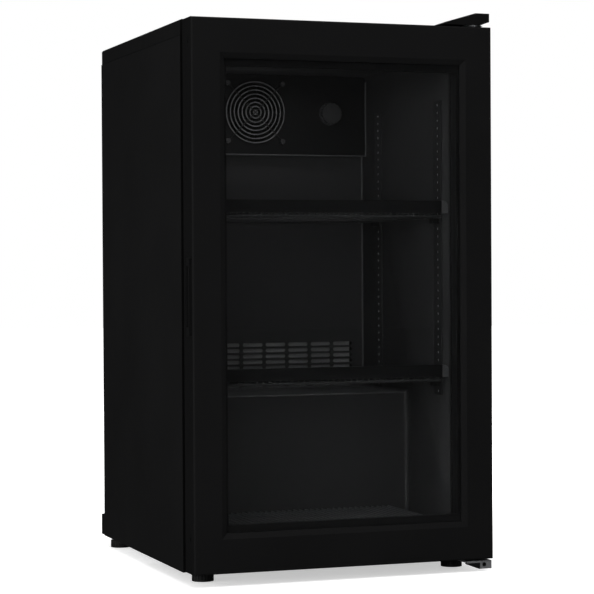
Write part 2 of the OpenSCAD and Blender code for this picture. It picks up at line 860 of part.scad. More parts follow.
// Welded shell on a flat bracket, with the terminal box on its side
module compressor() {
    zc = compressor_z0;
    color(coat_black) translate([compressor_x, compressor_y, 0]) {
        intersection() {
            rod_z(0, 0, zc, zc + compressor_h, 2 * compressor_r);
            translate([0, 0, zc + compressor_h - dome_r]) sphere(dome_r);
            translate([0, 0, zc + dome_r]) sphere(dome_r);
        }
        rod_z(0, 0, zc + compressor_h / 2 - 3, zc + compressor_h / 2 + 3,
              2 * compressor_r + 8);
        difference() {
            box(-bracket_hole_x - 14, bracket_hole_x + 14, -bracket_hole_y - 14,
                bracket_hole_y + 14, zc - 2, zc + 1.5);
            bracket_places() rod_z(0, 0, zc - 3, zc + 3, 14);
        }
        box(compressor_r - 4, compressor_r + 24, -26, 26, zc + 30, zc + 90);
    }
}

module bracket_places() {
    for (sx = [-1, 1], sy = [-1, 1])
        translate([sx * bracket_hole_x, sy * bracket_hole_y, 0]) children();
}

module compressor_grommets() {
    color(rubber_black) translate([compressor_x, compressor_y, 0]) bracket_places()
        difference() {
            union() {
                rod_z(0, 0, z_base, compressor_z0 - 2, 24);
                rod_z(0, 0, z_base + 2, compressor_z0 + 5, 13.4);
            }
            rod_z(0, 0, z_base - 1, compressor_z0 + 6, 6.6);
        }
}

// Studs with washers and hex nuts
module compressor_bolts() {
    color(zinc) translate([compressor_x, compressor_y, 0]) bracket_places() {
        rod_z(0, 0, z_base, compressor_z0 + 14, 6);
        rod_z(0, 0, compressor_z0 + 5, compressor_z0 + 6.6, 18);
        translate([0, 0, compressor_z0 + 6.5]) cylinder(d = 11.5, h = 5, $fn = 6);
    }
}

module condenser_coil() {
    color(coat_black)
        fin_coil(cond_x - 82, cond_x + 82, coil_y, coil_y + cond_d, z_base, cond_z1, 18,
                 cond_rows, 2);
}

module condenser_fan_frame() {
    color(plastic_black) translate([cond_x, cond_fan_y, cond_z]) {
        fan_frame(cond_fan_size, cond_fan_d, 46);
        box(-cond_fan_size / 2, cond_fan_size / 2, cond_fan_d - 12, cond_fan_d,
            z_base - cond_z, -cond_fan_size / 2 + 1);
    }
}

module condenser_fan_rotor() {
    color(zinc) translate([cond_x, cond_fan_y + 2, cond_z])
        fan_rotor(cond_fan_size - fan_frame_rim - 2 * fan_tip_gap, cond_fan_d - 13, 40, 5);
}

// A bent line of straight lengths, with a brazed collar at each bend
module pipe(points, dia) {
    for (i = [0 : len(points) - 2]) {
        a = points[i];
        d = points[i + 1] - a;
        run = norm(d);
        translate(a) rotate([0, acos(d[2] / run), atan2(d[1], d[0])])
            cylinder(d = dia, h = run);
    }
    for (i = [1 : len(points) - 2]) translate(points[i]) sphere(d = dia * 1.2);
}

// Discharge line; liquid line with its drier, joined to the suction line; drain tube
module refrigerant_lines() {
    zc = compressor_z0;
    left = compressor_x - compressor_r - place_gap;
    front = compressor_y - compressor_r - place_gap;
    drier_x = cond_x + 110;
    cond_end = cond_x + 82 + tube_end;
    tube_y = coil_y + cond_d / 4;
    top_z = row_z(z_base, cond_z1, cond_rows, cond_rows - 1);
    low_z = row_z(z_base, cond_z1, cond_rows, 0);
    evap_row = row_z(evap_z0, evap_z1, evap_rows, evap_rows - 1);
    color(copper) {
        pipe([
            [left, compressor_y, zc + 50], [left - 16, compressor_y, zc + 50],
            [left - 16, compressor_y, top_z], [left - 16, tube_y, top_z],
            [cond_end, tube_y, top_z]
        ], 6);
        pipe([
            [cond_end, tube_y, low_z], [drier_x, tube_y, low_z],
            [drier_x, tube_y, z_bay - 12], [suction_x, tube_y, z_bay - 12],
            [suction_x, suction_y, z_bay - 12]
        ], 4);
        rod_z(drier_x, tube_y, low_z + 30, low_z + 90, 18);
        pipe([
            [compressor_x, front, zc + 40], [compressor_x, front - 20, zc + 40],
            [suction_x, front - 20, zc + 40], [suction_x, front - 20, z_bay - 24],
            [suction_x, suction_y, z_bay - 24], [suction_x, suction_y, evap_row],
            [evap_x + tube_end, suction_y, evap_row]
        ], line_dia);
    }
    color(plastic_black) difference() {
        rod_z(drain_x, drain_y, tray_z + 8, z_step + 1, drain_dia);
        rod_z(drain_x, drain_y, tray_z, z_step + 2, drain_dia - 3);
    }
}

// Shallow tray on the warm compressor, where the defrost water dries off
module drip_tray() {
    wall = 2;
    x0 = compressor_x - 62;
    x1 = compressor_x + 62;
    y0 = drain_y - 110;
    y1 = drain_y + 14;
    top = tray_z + 26;
    color(plastic_black) difference() {
        box(x0, x1, y0, y1, tray_z, top);
        box(x0 + wall, x1 - wall, y0 + wall, y1 - wall, tray_z + wall, top + 1);
    }
}

// Slotted steel cover over the bay
module rear_grille() {
    gx = x_sheet - place_gap;
    cols = 18;
    pitch = 2 * (gx - 30) / (cols - 1);
    color(coat_black) difference() {
        box(-gx, gx, y_back - grille_set - grille_t, y_back - grille_set, z_bot + 3, z_bay - place_gap);
        for (i = [0 : cols - 1], row = [0.3, 0.72])
            translate([-gx + 30 + i * pitch, 0, z_bot + row * (z_bay - z_bot)])
                along_y(y_back - 3, y_back) rotate(90) slot_outline(72, 8);
        rod_y(x_sheet - 60, y_back - 3, y_back, z_bot + 14, 16);
        both_sides() grille_screw_holes();
    }
}

module grille_screw_holes() {
    for (z = grille_screws_z) rod_y(grille_screw_x, y_back - 12, y_back, z, 4.4);
}

// Bush where the mains lead enters
module inlet_gland() {
    color(plastic_black) difference() {
        union() {
            rod_y(x_sheet - 60, y_back - 8, y_back + 5, z_bot + 14, 15.4);
            rod_y(x_sheet - 60, y_back - 0.8, y_back + 1.6, z_bot + 14, 21);
        }
        rod_y(x_sheet - 60, y_back - 9, y_back + 6, z_bot + 14, 7.5);
    }
}

// Blocks that keep the rear off a wall
module rear_spacers() {
    color(plastic_black) both_sides()
        translate([0, 0, z_bot + 1]) difference() {
            union() {
                along_z(0, 35) mirror([0, 1])
                    rounded_low(half_w - 26, half_w, -y_back - rear_spacer_d, -y_back, 4);
                rod_y(half_w - 13, y_back - grille_set, y_back + 1, 17.5, 12);
            }
            rod_y(half_w - 13, y_back + 8, y_back + rear_spacer_d + 1, 17.5, 10);
        }
}

// Hinges

// Plan of the top hinge plate: a seat on the cabinet and an arm over the door
module top_hinge_outline() {
    translate([cap_x0 + 14, y_front + 6]) square([cap_x1 - 4 - cap_x0 - 14, 46]);
    translate([hinge_x - 12, hinge_y]) square([24, y_front + 20 - hinge_y]);
    translate([hinge_x, hinge_y]) circle(12);
}

module top_hinge_screw_places() {
    for (x = [cap_x0 + 36, hinge_x], y = [y_front + 18, y_front + 40])
        translate([x, y, 0]) children();
}

module top_hinge_screw_holes() {
    top_hinge_screw_places() rod_z(0, 0, z_top - 14, z_top + 10, 5.4);
}

// Top plate, its backing plate under the cover, and the four screws
module top_hinge_plate() {
    color(zinc) {
        difference() {
            along_z(z_top, z_top + hinge_plate_t) top_hinge_outline();
            top_hinge_screw_holes();
            rod_z(hinge_x, hinge_y, z_top - 1, z_top + hinge_plate_t + 1,
                  hinge_pin_dia + 2 * run_gap);
        }
        difference() {
            box(cap_x0 + 14, cap_x1 - 4, y_front + 6, y_front + 52, foam_top,
                z_top - top_cover_t);
            top_hinge_screw_holes();
        }
        top_hinge_screw_places() screw_down(0, 0, z_top + hinge_plate_t, 5, 16);
    }
}

// Wedge-shaped cap, open below, cut away at its lower right corner
module hinge_cap() {
    rise_x = hinge_x - 8;
    cut_x = hinge_x;
    cut_z = 5.5;
    top = z_top + hinge_cap_h;
    color(plastic_black) difference() {
        along_y(cap_y0, cap_y1) polygon([
            [cap_x0, z_top], [cut_x, z_top], [cap_x1, z_top + cut_z], [cap_x1, top],
            [rise_x, top], [cap_x0, z_top + 1.2]
        ]);
        along_y(cap_y0 + cap_t, cap_y1 - cap_t) polygon([
            [cap_x0 + 3, z_top - 1], [cap_x1 - cap_t, z_top - 1],
            [cap_x1 - cap_t, top - cap_t], [rise_x + 0.5, top - cap_t],
            [cap_x0 + 3, z_top + 0.4]
        ]);
    }
}

module bracket_screw_holes(z0, z1) {
    for (y = [y_front + 34, y_front + 66]) rod_z(half_w - 10, y, z0, z1, 5.4);
}

// Plate under the cabinet and the door, with a drilled lip folded down at the front
module bottom_hinge_bracket() {
    z0 = z_bot - hinge_plate_t;
    lip_z = z_bot - 13;
    color(zinc) {
        difference() {
            union() {
                box(half_w - 18, half_w - 1, y_front - 1, y_front + 78, z0, z_bot);
                box(half_w - 44, half_w - 1, cap_y0 + 2, y_front, z0, z_bot);
                box(half_w - 21, half_w - 1, cap_y0 + 2, cap_y0 + 5, lip_z, z_bot);
            }
            rod_z(hinge_x, hinge_y, z0 - 1, z_bot + 1, hinge_pin_dia + 2 * run_gap);
            rod_y(half_w - 14, cap_y0, cap_y0 + 8, z_bot - 6, 3.4);
            bracket_screw_holes(z0 - 1, z_bot + 1);
        }
        for (y = [y_front + 34, y_front + 66]) {
            rod_z(half_w - 10, y, z0 - 2.5, z0, 10);
            rod_z(half_w - 10, y, z0 - 1, z_bot + 9, 5);
        }
    }
}

// Black wedge under the bracket's left part, beside its lip
module hinge_foot_cover() {
    z1 = z_bot - hinge_plate_t;
    color(plastic_black) along_y(cap_y0 + 2, cap_y0 + 9) polygon([
        [half_w - 44, z1], [half_w - 44, z1 - 2], [half_w - 23, z_bot - 13],
        [half_w - 21.3, z_bot - 13], [half_w - 21.3, z1]
    ]);
}

module hinge_pins() {
    z0 = z_bot - hinge_plate_t;
    color(steel) {
        rod_z(hinge_x, hinge_y, z_door1 - bush_depth + 2, z_top + hinge_plate_t + 3,
              hinge_pin_dia);
        rod_z(hinge_x, hinge_y, z_top + hinge_plate_t, z_top + hinge_plate_t + 4,
              hinge_pin_dia + 6);
        rod_z(hinge_x, hinge_y, z0 - 3, z_door0 + bush_depth - 2, hinge_pin_dia);
        rod_z(hinge_x, hinge_y, z0 - 4, z0, hinge_pin_dia + 5);
    }
}

// Door

// Space in the frame around the glazing for the foam and the fittings
module door_cavity(m) {
    difference() {
        box(-half_w + door_wall_t + m, half_w - door_wall_t - m, y_door + door_wall_t + m,
            y_door_back + 1, z_door0 + door_wall_t + m, z_door1 - door_wall_t - m);
        box(-x_cavity - m, x_cavity + m, y_door, y_door_back + 2,
            z_pane0 - 1 - door_wall_t - m, z_pane1 + 1 + door_wall_t + m);
    }
}

// Moulded front shell: rounded outside, bevelled towards the glass, open at the back
module door_frame() {
    x_bevel = half_w - stile_w;
    z_bevel0 = z_door0 + rail_w;
    z_bevel1 = z_door1 - rail_w;
    // The bevel planes go on past the front face, so that the cut is clean
    out = 1;
    grow = out * bevel_w / bevel_d;
    y_lip = y_door + bevel_d;
    color(coat_black) difference() {
        intersection() {
            along_z(z_door0, z_door1)
                rounded_low(-half_w, half_w, y_door, y_door_back, door_edge_r);
            along_x(-half_w, half_w) rotate(90) mirror([0, 1])
                rounded_low(z_door0, z_door1, y_door, y_door_back, door_edge_r);
        }
        box(-x_lip, x_lip, y_door - 1, y_door_back + 1, z_lip0, z_lip1);
        intersection() {
            along_z(z_door0, z_door1) polygon([
                [-x_bevel - grow, y_door - out], [x_bevel + grow, y_door - out],
                [x_lip, y_lip], [-x_lip, y_lip]
            ]);
            along_x(-half_w, half_w) polygon([
                [y_door - out, z_bevel0 - grow], [y_door - out, z_bevel1 + grow],
                [y_lip, z_lip1], [y_lip, z_lip0]
            ]);
        }
        box(-x_pocket, x_pocket, y_glass, y_door_back + 1, z_pane0 - 1, z_pane1 + 1);
        door_cavity(0);
        // Seat of the rear frame
        box(-half_w + door_wall_t, half_w - door_wall_t, y_door_back - inner_plate_t - 0.1,
            y_door_back + 1, z_door0 + door_wall_t, z_door1 - door_wall_t);
        grip_body(place_gap);
        both_sides() side_screw_holes(6.4);
        for (z = [z_door0, z_door1])
            rod_z(hinge_x, hinge_y, z - door_wall_t - 1, z + door_wall_t + 1,
                  bush_dia + 2 * place_gap);
    }
}

module side_screw_holes(dia) {
    for (z = [z_door0 + rail_w, z_door1 - rail_w + 16])
        rod_x(half_w - 12, half_w + 1, y_door + 19, z, dia);
}

// Foam in the hollow of the frame
module door_core() {
    color(foam_cream) difference() {
        intersection() {
            door_cavity(place_gap);
            box(-half_w, half_w, y_door, y_door_back - inner_plate_t - place_gap, z_door0,
                z_door1);
        }
        grip_body(2 * place_gap);
        both_sides() side_screw_holes(7);
        rod_z(hinge_x, hinge_y, z_door0, z_door0 + bush_depth + 1, bush_dia + 1);
        rod_z(hinge_x, hinge_y, z_door1 - bush_depth - 1, z_door1, bush_dia + 1);
    }
}

// Rear frame that closes the door and presses on the rear pane, grooved for the gasket
module door_inner_frame() {
    x_out = half_w - door_wall_t - place_gap;
    z0 = z_door0 + door_wall_t + place_gap;
    z1 = z_door1 - door_wall_t - place_gap;
    groove = gasket_out - gasket_w / 2;
    color(plastic_black) difference() {
        union() {
            frame_ring(x_out, z0, z1, x_lip - 2, z_lip0 - 2, z_lip1 + 2,
                       y_door_back - inner_plate_t, y_door_back);
            frame_ring(x_pane, z_pane0, z_pane1, x_lip, z_lip0, z_lip1,
                       y_glazed + place_gap, y_door_back - inner_plate_t + 1);
        }
        gasket_ring(groove + 2.3, groove - 2.3, y_door_back - 3, y_door_back + 1);
    }
}

// A ring that follows the gasket line, between two half-widths
module gasket_ring(x_out, x_inner, y0, y1) {
    z_mid0 = z_door0 + half_w;
    z_mid1 = z_door1 - half_w;
    frame_ring(x_out, z_mid0 - x_out, z_mid1 + x_out, x_inner, z_mid0 - x_inner,
               z_mid1 + x_inner, y0, y1);
}

// Magnetic gasket: a barb in the groove, a base and a hollow bellows
module door_gasket() {
    groove = gasket_out - gasket_w / 2;
    x_inner = gasket_out - gasket_w;
    y_tip = y_front - gasket_gap;
    color(rubber_black) difference() {
        union() {
            gasket_ring(groove + 2, groove - 2, y_door_back - 2.7, y_door_back + 1);
            gasket_ring(gasket_out, x_inner, y_door_back, y_door_back + 2);
            gasket_ring(gasket_out - 3, x_inner + 3, y_door_back + 1, y_tip - 4);
            gasket_ring(gasket_out - 1, x_inner + 2, y_tip - 5, y_tip);
        }
        gasket_ring(gasket_out - 5, x_inner + 5, y_door_back + 2.5, y_tip - 5.5);
    }
}

// Two toughened panes
module glass_panes() {
    color([0.75, 0.85, 0.85, 0.35]) for (y = [y_glass, y_rear_pane])
        box(-x_pane, x_pane, y + 0.02, y + pane_t - 0.02, z_pane0, z_pane1);
}

// Edge seal between the panes
module glass_spacer() {
    color(zinc)
        frame_ring(x_pane, z_pane0, z_pane1, x_lip - spacer_reveal_x,
                   z_lip0 + spacer_reveal_z, z_lip1 - spacer_reveal_z, y_glass + pane_t,
                   y_rear_pane);
}

// Outer body of the grip moulding
module grip_body(m) {
    box(-half_w - 1, -half_w + grip_depth + grip_wall + m, grip_y0 - grip_wall - m,
        grip_y1 + grip_wall + m, grip_mid - grip_h / 2 - grip_wall - m,
        grip_mid + grip_h / 2 + grip_wall + m);
}

// Grip moulding with an upright bar, hinge bushes and side screws
module door_fittings() {
    bar_y = 0.5 * (grip_y0 + grip_y1) + 1.5;
    color(plastic_black) difference() {
        intersection() {
            grip_body(0);
            box(-half_w + 0.4, 0, y_door, y_door_back, z_door0, z_door1);
        }
        box(-half_w - 1, -half_w + grip_depth, grip_y0, bar_y - 2, grip_mid - grip_h / 2,
            grip_mid + grip_h / 2);
        box(-half_w - 1, -half_w + grip_depth, bar_y + 2, grip_y1, grip_mid - grip_h / 2 + 13,
            grip_mid + grip_h / 2 - 11);
    }
    color(foam_white) {
        bush(z_door0, z_door0 + bush_depth, z_bot + place_gap, z_door0);
        bush(z_door1 - bush_depth, z_door1, z_door1, z_door1 + 1.5);
    }
    color(zinc) both_sides() for (z = [z_door0 + rail_w, z_door1 - rail_w + 16])
        rod_x(half_w - 11, half_w - 0.6, y_door + 19, z, 6);
}

// A flanged bush with its bore on the hinge axis
module bush(z0, z1, flange_z0, flange_z1) {
    difference() {
        union() {
            rod_z(hinge_x, hinge_y, z0, z1, bush_dia);
            rod_z(hinge_x, hinge_y, flange_z0, flange_z1, bush_dia + 5);
        }
        rod_z(hinge_x, hinge_y, z_bot - 1, z_top + 1, hinge_pin_dia + 2 * run_gap);
    }
}

// Feet

// Ribbed pad with a neck and a stud
module foot(x, y) {
    ribs = 20;
    color(rubber_black) translate([x, y, 0]) {
        difference() {
            union() {
                rod_z(0, 0, 0, foot_h - 5, foot_dia);
                rod_z(0, 0, foot_h - 6, foot_h - travel_gap, foot_dia * 0.62);
            }
            for (i = [0 : ribs - 1]) rotate([0, 0, i * 360 / ribs])
                rod_z(foot_dia / 2 + 0.6, 0, 2, foot_h, 3.2);
        }
        rod_z(0, 0, foot_h - 1, foot_h + stud_len, foot_stud_dia);
    }
}

module foot_front_left() foot(-foot_front[0], foot_front[1]);

module foot_front_right() foot(foot_front[0], foot_front[1]);

module foot_rear_left() foot(-foot_rear[0], foot_rear[1]);

module foot_rear_right() foot(foot_rear[0], foot_rear[1]);

left_side_panel();
right_side_panel();
rear_panel();
top_cover();
base_pan();
bay_panel();
insulation_left();
insulation_right();
insulation_top();
insulation_rear();
insulation_floor();
inner_liner();
breaker_frame();
duct_panel();
duct_insert();
fan_panel();
panel_screws();
evaporator_coil();
evaporator_fan_frame();
evaporator_fan_rotor();
fan_guard();
fan_shafts();
thermostat_body();
thermostat_knob();
pilasters();
pilaster_strips();
shelf_clips();
upper_shelf();
upper_price_rail();
lower_shelf();
lower_price_rail();
floor_rack();
bay_base_plate();
compressor();
compressor_grommets();
compressor_bolts();
condenser_coil();
condenser_fan_frame();
condenser_fan_rotor();
refrigerant_lines();
drip_tray();
rear_grille();
inlet_gland();
rear_spacers();
top_hinge_plate();
hinge_cap();
bottom_hinge_bracket();
hinge_foot_cover();
hinge_pins();
door_frame();
door_core();
door_inner_frame();
glass_panes();
glass_spacer();
door_gasket();
door_fittings();
foot_front_left();
foot_front_right();
foot_rear_left();
foot_rear_right();
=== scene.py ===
"""Glass door merchandiser: materials, detail pieces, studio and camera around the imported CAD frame."""

import math

import bmesh
import bpy
from mathutils import Matrix, Vector


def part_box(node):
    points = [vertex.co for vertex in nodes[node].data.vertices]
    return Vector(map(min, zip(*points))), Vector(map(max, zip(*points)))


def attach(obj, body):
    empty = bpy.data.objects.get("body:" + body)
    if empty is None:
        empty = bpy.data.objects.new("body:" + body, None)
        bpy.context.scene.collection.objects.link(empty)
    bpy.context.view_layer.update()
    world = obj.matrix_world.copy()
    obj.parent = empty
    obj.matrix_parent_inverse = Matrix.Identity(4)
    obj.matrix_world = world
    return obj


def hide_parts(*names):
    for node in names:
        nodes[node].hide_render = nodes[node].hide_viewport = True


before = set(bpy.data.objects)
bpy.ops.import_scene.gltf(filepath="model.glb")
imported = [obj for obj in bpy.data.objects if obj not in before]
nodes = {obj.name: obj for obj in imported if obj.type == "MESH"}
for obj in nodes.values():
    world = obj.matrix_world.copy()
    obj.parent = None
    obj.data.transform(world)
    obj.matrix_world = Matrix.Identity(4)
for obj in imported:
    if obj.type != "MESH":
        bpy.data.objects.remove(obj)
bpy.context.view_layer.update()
MM = 0.001


# Places, from the frame and a few sizes of the part that no node's box gives

STILE = 53 * MM  # width of the door frame's face
SEAT = 0.3 * MM  # clearance under the duct panel
RACK_GAP = 5 * MM  # from the back of the floor rack to the step in the liner


def node_box(name):
    low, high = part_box(name)
    return Vector(low), Vector(high)


door_low, door_high = node_box("door_frame")
liner_low, liner_high = node_box("inner_liner")
fan_low, fan_high = node_box("fan_panel")
guard_low, guard_high = node_box("fan_guard")
cover_low, cover_high = node_box("top_cover")
duct_low = node_box("duct_panel")[0]
side_low = node_box("left_side_panel")[0]
step_face_y = node_box("floor_rack")[1].y + RACK_GAP
step_top_z = duct_low.z - SEAT
sealed_y = liner_low.y + 8 * MM  # black sealant closes the insulation's joint in front of this
sleeve_z = node_box("bay_panel")[1].z + 5 * MM  # the copper lines wear a sleeve above this


# Camera: the photograph's view, turned to the object's left and almost level

def aim_camera(place, yaw, pitch, roll, lens):
    data = bpy.data.cameras.new("camera")
    camera = bpy.data.objects.new("camera", data)
    bpy.context.scene.collection.objects.link(camera)
    forward = Vector((
        math.sin(yaw) * math.cos(pitch), math.cos(yaw) * math.cos(pitch), math.sin(pitch)))
    right = Vector((math.cos(yaw), -math.sin(yaw), 0))
    up = right.cross(forward)
    across = math.cos(roll) * right + math.sin(roll) * up
    upward = -math.sin(roll) * right + math.cos(roll) * up
    turn = Matrix((across, upward, -forward)).transposed().to_4x4()
    camera.matrix_world = Matrix.Translation(place) @ turn
    data.lens = lens
    data.sensor_width = 36
    data.clip_end = 60
    bpy.context.scene.camera = camera


aim_camera(Vector((-1.1547, -3.2454, 0.4833)), math.radians(19.90), math.radians(-0.75),
           math.radians(-0.324), 123.8)
bpy.context.scene.view_settings.view_transform = "Standard"


# Materials

class Shader:
    """A node material on one Principled surface, with short calls for its usual parts."""

    def __init__(self, name, rough=0.5, spec=0.5, metal=0.0, ior=1.5):
        self.mat = bpy.data.materials.new(name)
        self.mat.use_nodes = True
        self.tree = self.mat.node_tree
        self.tree.nodes.clear()
        self.out = self.new("ShaderNodeOutputMaterial")
        self.bsdf = self.new("ShaderNodeBsdfPrincipled")
        self.link(self.bsdf.outputs["BSDF"], self.out.inputs["Surface"])
        self.bsdf.inputs["Roughness"].default_value = rough
        self.bsdf.inputs["Metallic"].default_value = metal
        self.bsdf.inputs["Specular IOR Level"].default_value = spec
        self.bsdf.inputs["IOR"].default_value = ior
        self.coord = self.new("ShaderNodeTexCoord").outputs["Object"]
        self.normal = None

    def new(self, kind):
        return self.tree.nodes.new(kind)

    def link(self, a, b):
        self.tree.links.new(a, b)

    def stretched(self, scale):
        """The object's own coordinates, scaled along each axis."""
        mapping = self.new("ShaderNodeMapping")
        mapping.inputs["Scale"].default_value = scale
        self.link(self.coord, mapping.inputs["Vector"])
        return mapping.outputs["Vector"]

    def noise(self, scale, detail=3.0, rough=0.5, vector=None):
        node = self.new("ShaderNodeTexNoise")
        node.inputs["Scale"].default_value = scale
        node.inputs["Detail"].default_value = detail
        node.inputs["Roughness"].default_value = rough
        self.link(vector or self.coord, node.inputs["Vector"])
        return node.outputs["Fac"]

    def voronoi(self, scale, feature="F1"):
        node = self.new("ShaderNodeTexVoronoi")
        node.feature = feature
        node.inputs["Scale"].default_value = scale
        self.link(self.coord, node.inputs["Vector"])
        return node.outputs["Distance"]

    def ranged(self, value, low, high, start=0.3, end=0.7):
        node = self.new("ShaderNodeMapRange")
        node.inputs["From Min"].default_value = start
        node.inputs["From Max"].default_value = end
        node.inputs["To Min"].default_value = low
        node.inputs["To Max"].default_value = high
        self.link(value, node.inputs["Value"])
        return node.outputs["Result"]

    def math(self, kind, a, b):
        node = self.new("ShaderNodeMath")
        node.operation = kind
        for socket, value in zip(node.inputs, (a, b)):
            if isinstance(value, (int, float)):
                socket.default_value = value
            else:
                self.link(value, socket)
        return node.outputs["Value"]

    def mixed(self, factor, first, second):
        """A colour between two, each a tuple or a socket."""
        node = self.new("ShaderNodeMix")
        node.data_type = "RGBA"
        self.link(factor, node.inputs["Factor"])
        for name, value in (("A", first), ("B", second)):
            socket = [s for s in node.inputs if s.name == name and s.type == "RGBA"][0]
            if isinstance(value, tuple):
                socket.default_value = (*value, 1)
            else:
                self.link(value, socket)
        return [s for s in node.outputs if s.type == "RGBA"][0]

    def edges(self, radius=0.0012):
        """How close a point is to a convex edge, from the difference that a rounded normal makes."""
        bevel = self.new("ShaderNodeBevel")
        bevel.inputs["Radius"].default_value = radius
        geometry = self.new("ShaderNodeNewGeometry")
        dot = self.new("ShaderNodeVectorMath")
        dot.operation = "DOT_PRODUCT"
        self.link(bevel.outputs["Normal"], dot.inputs[0])
        self.link(geometry.outputs["Normal"], dot.inputs[1])
        return self.ranged(dot.outputs["Value"], 1.0, 0.0, 0.75, 0.98)

    def bump(self, height, strength, distance):
        node = self.new("ShaderNodeBump")
        node.inputs["Strength"].default_value = strength
        node.inputs["Distance"].default_value = distance
        self.link(height, node.inputs["Height"])
        if self.normal is not None:
            self.link(self.normal, node.inputs["Normal"])
        self.normal = node.outputs["Normal"]
        self.link(self.normal, self.bsdf.inputs["Normal"])

    def colour(self, value):
        if isinstance(value, tuple):
            self.bsdf.inputs["Base Color"].default_value = (*value, 1)
        else:
            self.link(value, self.bsdf.inputs["Base Color"])

    def roughness(self, value):
        self.link(value, self.bsdf.inputs["Roughness"])


def grey(level):
    return (level, level, level * 1.03)


def powder_coat(name, level, rough=0.6, spec=0.07, edge_wear_and_shade=1.35):
    """Sprayed and baked coat: fine orange peel, faint cloudiness, edges rubbed a little lighter."""
    s = Shader(name, rough, spec)
    cloud = s.ranged(s.noise(3.5, 2.0), 0.0, 1.0)
    base = s.mixed(cloud, grey(level * 0.92), grey(level * 1.08))
    s.colour(s.mixed(s.edges(), base, grey(level * edge_wear_and_shade)))
    s.roughness(s.ranged(s.noise(9.0, 4.0), rough - 0.05, rough + 0.06))
    s.bump(s.noise(900.0, 2.0), 0.25, 0.0002)
    s.bump(s.noise(220.0, 1.0), 0.12, 0.0003)
    return s.mat


def moulded(name, level, rough=0.55, spec=0.08, grain=1400.0, edge_wear_and_shade=1.3):
    """Injection-moulded plastic: spark-eroded grain, uneven sheen, and edges scaled in tone: paler as
    wear, and darker on the door as painted shade.
    """
    s = Shader(name, rough, spec)
    cloud = s.ranged(s.noise(6.0, 3.0), 0.0, 1.0)
    base = s.mixed(cloud, grey(level * 0.93), grey(level * 1.07))
    s.colour(s.mixed(s.edges(0.0009), base, grey(level * edge_wear_and_shade)))
    s.roughness(s.ranged(s.noise(14.0, 4.0), rough - 0.06, rough + 0.06))
    s.bump(s.voronoi(grain), 0.18, 0.00015)
    return s.mat


def formed_liner(name, level, rough=0.4, spec=0.15):
    """Vacuum-formed liner: long soft waves, a semi-gloss skin, and faces that look up made five times
    paler: partly dust, partly painted light from above.
    """
    # Upward faces are paled fivefold: dust in a noise pattern, and painted top light that brightens the
    # step's top.
    lighter_by = 5
    s = Shader(name, rough, spec)
    cloud = s.ranged(s.noise(4.0, 3.0), 0.0, 1.0)
    skin = s.mixed(cloud, grey(level * 0.9), grey(level * 1.1))
    split = s.new("ShaderNodeSeparateXYZ")
    s.link(s.new("ShaderNodeNewGeometry").outputs["Normal"], split.inputs["Vector"])
    upward = s.ranged(split.outputs["Z"], 0.0, 1.0, 0.5, 0.95)
    dust_and_top_light = s.math("MULTIPLY", upward, s.ranged(s.noise(35.0, 5.0), 0.6, 1.0))
    s.colour(s.mixed(dust_and_top_light, skin, grey(level * lighter_by)))
    s.roughness(s.ranged(s.noise(8.0, 5.0), rough - 0.07, rough + 0.09))
    s.bump(s.noise(5.0, 1.0), 0.2, 0.004)
    s.bump(s.noise(700.0, 2.0), 0.1, 0.0001)
    return s.mat


def guard_wire(name, level, middle, ring_radius):
    """Bright rings on black-coated arms that cross at 45 degrees."""
    arm_half_width = 1.6 * MM
    s = Shader(name, 0.35, 0.4)
    shifted = s.new("ShaderNodeVectorMath")
    shifted.operation = "SUBTRACT"
    s.link(s.coord, shifted.inputs[0])
    shifted.inputs[1].default_value = (middle.x, 0, middle.z)
    split = s.new("ShaderNodeSeparateXYZ")
    s.link(shifted.outputs["Vector"], split.inputs["Vector"])
    x, z = split.outputs["X"], split.outputs["Z"]
    off = s.math("SUBTRACT", s.math("ABSOLUTE", x, 0), s.math("ABSOLUTE", z, 0))
    on_arm = s.math("LESS_THAN", s.math("ABSOLUTE", off, 0), arm_half_width)
    reach = s.math("SQRT", s.math("ADD", s.math("POWER", x, 2), s.math("POWER", z, 2)), 0)
    beyond = s.math("GREATER_THAN", reach, ring_radius)
    dark = s.math("MAXIMUM", on_arm, beyond)
    tone = s.ranged(s.noise(120.0, 3.0), 0.0, 1.0)
    wire = s.mixed(tone, grey(level * 0.85), grey(level * 1.15))
    s.colour(s.mixed(dark, wire, grey(0.006)))
    s.bump(s.noise(900.0, 2.0), 0.15, 0.0001)
    return s.mat


def plated(name, tint, rough=0.35, brush=(900.0, 900.0, 30.0), metal=1.0):
    """Bare or plated metal: a drawn grain along one way, with cloudy passivation."""
    s = Shader(name, rough, 0.5, metal)
    streak = s.noise(1.0, 4.0, 0.6, s.stretched(brush))
    cloud = s.ranged(s.noise(40.0, 3.0), 0.0, 1.0)
    dull = tuple(0.78 * c for c in tint)
    base = s.mixed(cloud, dull, tint)
    s.colour(s.mixed(s.edges(0.0006), base, tuple(min(1.0, 1.15 * c) for c in tint)))
    s.roughness(s.ranged(streak, rough - 0.08, rough + 0.12))
    s.bump(streak, 0.12, 0.0001)
    return s.mat


def rubber(name, level, rough=0.75, lighter_by=2.2):
    """Matt elastomer with a fine moulded skin that holds some dust."""
    s = Shader(name, rough, 0.12)
    dust = s.ranged(s.noise(60.0, 5.0), 0.0, 1.0, 0.45, 0.75)
    s.colour(s.mixed(dust, grey(level), grey(level * lighter_by)))
    s.roughness(s.ranged(s.noise(90.0, 3.0), rough - 0.08, rough + 0.1))
    s.bump(s.noise(1600.0, 2.0), 0.3, 0.0001)
    return s.mat


